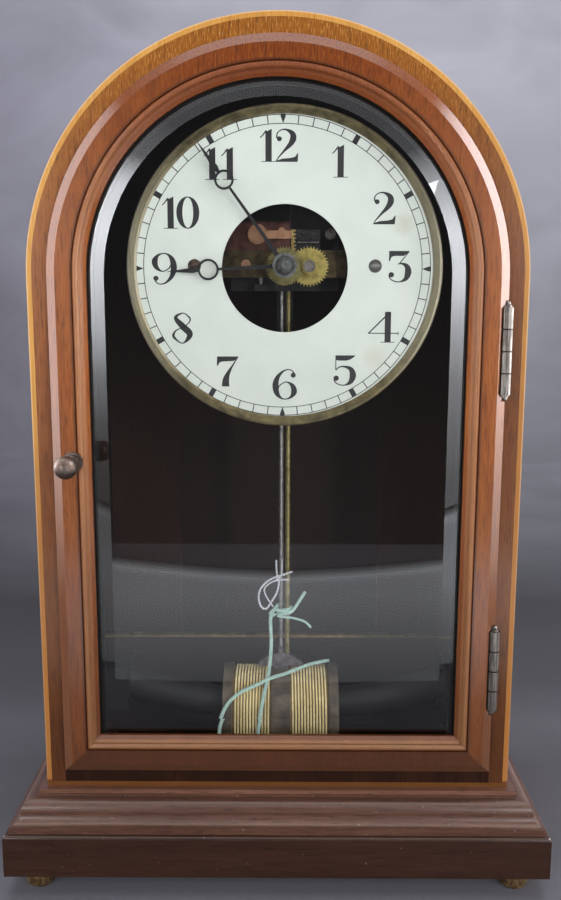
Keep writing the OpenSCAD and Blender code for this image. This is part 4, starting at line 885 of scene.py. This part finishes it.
def make_stage():
    """Pale cloth that runs under the clock and curves up well behind it, with painted light and
    shade in its colour.
    """
    profile = [(CLOTH_FRONT + 0.1 * k, 0.0) for k in range(17)]
    profile += [(WALL_Y - BEND + BEND * math.sin(a), BEND - BEND * math.cos(a))
                for a in (math.radians(10 * k) for k in range(1, 10))]
    profile += [(WALL_Y, BEND + (WALL_TOP - BEND) * k / 7) for k in range(1, 8)]
    verts = [(x, y, z) for y, z in profile for x in (-CLOTH_HALF, CLOTH_HALF)]
    faces = [(2 * k, 2 * k + 1, 2 * k + 3, 2 * k + 2) for k in range(len(profile) - 1)]
    cloth = add_mesh("backdrop", verts, faces)
    s = Shade("cloth", roughness=0.9, specular_ior_level=0.1)
    weave = s.noise(s.scaled(900, 900, 900), 2)
    fold = s.noise(s.scaled(1.0, 1.4, 0.75), 2, 0.4, 0.5)
    crease = s.noise(s.scaled(3.5, 5.5, 4.5), 3, 0.5, 1.2)
    # Painted light: the cloth is lighter towards the right.
    across = s.math("ADD", fold, s.span(s.axis(0), -0.4, 0.4, -0.09, 0.25))
    colour = s.mix(s.span(across, 0.3, 0.7), (0.36, 0.345, 0.41), (0.58, 0.572, 0.64))
    # Painted light and shade by row as seen from the viewpoint: a painted shadow band behind the
    # plinth, lighter farther back.
    slope = s.math("DIVIDE", s.math("SUBTRACT", s.axis(2), LOOK_Z),
                   s.math("MAXIMUM", s.math("SUBTRACT", s.axis(1), LOOK_Y), 0.1))
    tone = s.ramp(s.span(slope, -0.72, 0.28), (0.009, 0.385), (0.182, 0.245), (0.231, 0.27),
                  (0.281, 0.175), (0.331, 0.140), (0.379, 0.110), (0.452, 0.245), (0.52, 0.385),
                  (0.608, 0.475), (0.716, 0.62), (0.82, 0.89), (0.92, 1.0), (0.9995, 0.86))
    tone = s.math("MULTIPLY", tone, s.span(crease, 0.3, 0.7, 0.80, 1.0))
    s.link(s.mix(tone, (0.0, 0.0, 0.0), colour), "Base Color")
    s.bump(weave, 0.0003, 0.4)
    paint(s.mat, cloth)
    return cloth


def soft_box(name, at, aim, width, height, glow, colour=COOL):
    """A soft box whose brightness is glow; it lights and reflects but isn't seen itself."""
    data = bpy.data.lights.new(name, "AREA")
    data.shape = "RECTANGLE"
    data.size, data.size_y = width, height
    data.energy = glow * math.pi * width * height
    data.color = colour
    lamp = bpy.data.objects.new(name, data)
    bpy.context.scene.collection.objects.link(lamp)
    turn = (Vector(aim) - Vector(at)).to_track_quat("-Z", "Y").to_matrix()
    lamp.matrix_world = Matrix.Translation(at) @ turn.to_4x4()
    lamp.visible_camera = lamp.visible_transmission = False
    return lamp


def light_only(lamp, *receivers):
    """The lamp lights these pieces and no others."""
    linked = bpy.data.collections.new(lamp.name + "_lights")
    for piece in receivers:
        linked.objects.link(piece)
    lamp.light_linking.receiver_collection = linked


def light_card(card, s, strength, colour):
    """Makes a piece glow for reflections only: nothing else sees it or is lit by it."""
    s.mat.cycles.emission_sampling = "NONE"
    s.surface(s.node("Emission", {"Color": (*colour, 1.0), "Strength": strength}))
    paint(s.mat, card)
    card.visible_camera = card.visible_diffuse = False
    card.visible_transmission = card.visible_shadow = False


def make_glow_card():
    """Bright curved strip of table in front: the glass reflects it as a pale haze low down."""
    verts, faces = [], []
    columns, bend, rim_y, curl = 24, 1.6, -0.563, 0.35
    for k in range(columns + 1):
        x = CARD_HALF * (2 * k / columns - 1)
        far = rim_y - curl * abs(x / CARD_HALF) ** bend
        near = -0.283 - 0.06 * abs(x / CARD_HALF) ** bend
        verts += [(x, near, 0.001), (x, far, 0.001)]
    for k in range(columns):
        faces.append((2 * k, 2 * k + 1, 2 * k + 3, 2 * k + 2))
    card = add_mesh("glow_card", verts, faces)
    s = Shade("glow_card")
    shape = s.math("ADD", s.span(s.axis(0), 0.12, 0.28, 2.7, 4.0),
                   s.span(s.axis(0), -0.12, -0.28, 0.0, -1.1))
    out = s.math("MULTIPLY", s.math("ABSOLUTE", s.axis(0)), 1 / CARD_HALF)
    rim = s.math("ADD", s.math("SUBTRACT", s.axis(1), rim_y),
                 s.math("MULTIPLY", s.math("POWER", out, bend), curl))
    band = s.span(s.math("ABSOLUTE", s.math("SUBTRACT", rim, 0.035)), 0.02, 0.0, 0.85, 1.2)
    shape = s.math("MULTIPLY", s.math("MULTIPLY", shape, band), s.span(rim, 0.0, 0.035))
    light_card(card, s, s.math("MULTIPLY", shape, s.span(s.axis(1), -0.28, -0.48, 0.4, 1.0)),
               (0.88, 0.93, 1.0))


def make_window():
    """Arch of sky light behind the viewer, which the bevel of the glass reflects."""
    middle_x, middle_z, y, inner, outer = -0.010, 0.304, -1.05, 0.54, 0.70
    turns = [math.radians(5 * k) for k in range(37)]
    path = [(1.0, None, -0.50), (1.0, None, 0.0)] + [(math.cos(a), math.sin(a), 0) for a in turns]
    path += [(-1.0, None, 0.0), (-1.0, None, -0.50)]
    verts = [(middle_x + out * r, y, middle_z + (drop if up is None else up * r))
             for out, up, drop in path for r in (inner, outer)]
    faces = [(2 * k, 2 * k + 1, 2 * k + 3, 2 * k + 2) for k in range(len(path) - 1)]
    card = add_mesh("window", verts, faces)
    s = Shade("window")
    height = s.span(s.axis(2), -0.2, 0.8)
    left = s.ramp(height, (0.17, 0.03), (0.21, 0.04), (0.27, 0.08), (0.345, 0.19), (0.42, 0.50),
                  (0.50, 0.75), (0.66, 1.0), (0.81, 0.82), (0.90, 0.14), (0.98, 0.095),
                  (1.0, 0.07))
    right = s.ramp(height, (0.17, 0.10), (0.27, 0.17), (0.345, 0.25), (0.42, 0.45), (0.50, 0.82),
                   (0.66, 0.93), (0.81, 0.46), (0.92, 0.075), (0.98, 0.07), (1.0, 0.06))
    glow = s.mix(s.span(s.axis(0), -0.05, 0.05), left, right)
    light_card(card, s, s.math("MULTIPLY", glow, 20.0), (0.93, 0.95, 1.0))


def make_side_card(name, x, *stops):
    """Upright card beside the clock, brighter higher up, that only reflections see."""
    front, back, top = -0.30, 0.34, 0.86
    verts = [(x, front, 0.0), (x, back, 0.0), (x, back, top), (x, front, top)]
    card = add_mesh(name, verts, [(0, 1, 2, 3)])
    s = Shade(name)
    light_card(card, s, s.math("MULTIPLY", s.ramp(s.axis(2), *stops), 18.0), COOL)


backdrop = make_stage()
make_glow_card()
make_window()
make_side_card("left_card", -0.55, (0.0, 0.05), (0.05, 0.10), (0.12, 0.29), (0.18, 0.37),
               (0.5, 0.41))
make_side_card("right_card", 0.55, (0.0, 0.11), (0.05, 0.20), (0.10, 0.26), (0.155, 0.36),
               (0.24, 0.88), (0.5, 1.0))
for side, low, high in ((-1, 5.0, 11.0), (1, 6.5, 17.0)):
    name = "left" if side < 0 else "right"
    soft_box(name + "_strip_low", (side * 0.46, -1.05, 0.12), (0, -0.06, 0.12), 0.10, 0.5, low)
    soft_box(name + "_strip_high", (side * 0.46, -1.05, 0.46), (0, -0.06, 0.3), 0.10, 0.30, high)
    key = soft_box(name + "_key", (side * 0.8, -1.0, 0.52), (0, 0, 0.25), 0.7, 0.8, 3.3)
    key.visible_glossy = False
roof = soft_box("roof_panel", (0, 0.05, 0.92), (0, 0.05, 0), 1.0, 0.7, 1.8,
                colour=(1.0, 0.97, 0.94))
roof.visible_diffuse = False
front = soft_box("front_box", (0, -1.2, 0.36), (0, 0, 0.3), 0.8, 0.6, 1.4)
front.visible_glossy = False
soft_box("top_box", (0, -0.35, 1.5), (0, 0.1, 0.2), 1.1, 0.8, 1.35, colour=(1.0, 0.98, 0.95))
cloth_lamp = soft_box("cloth_box", (0, 0.55, 1.75), (0, 1.45, 0.40), 1.8, 0.4, 10.0)
light_only(cloth_lamp, backdrop)
back = soft_box("back_box", (-0.25, 1.0, 0.90), (0, 0.087, 0.15), 0.9, 0.5, 0.95)
light_only(back, backdrop, *(nodes[name] for name in (
    "back_board", "back_screws", "rear_panel", "turn_button", "case_shell", "plinth_slab",
    "plinth_moulding", "plinth_cap", "feet")))
inner = soft_box("inner_box", (0.15, -1.2, 0.20), (0, -0.04, 0.30), 0.5, 0.5, 6.0)
light_only(inner, dial_print, *windings, *(nodes[name] for name in (
    "dial_plate", "dial_bezel", "coil_bobbin", "minute_hand", "hour_hand")))
back.visible_glossy = inner.visible_glossy = False
sky = soft_box("sky_panel", (0, -1.0, 1.25), (0, -0.08, 0.04), 1.5, 0.45, 1.5)
sky.visible_diffuse = False
world = bpy.data.worlds.new("room")
world.use_nodes = True
world.node_tree.nodes["Background"].inputs[0].default_value = (0.08, 0.08, 0.088, 1)
bpy.context.scene.world = world
bpy.context.scene.view_settings.view_transform = "Standard"
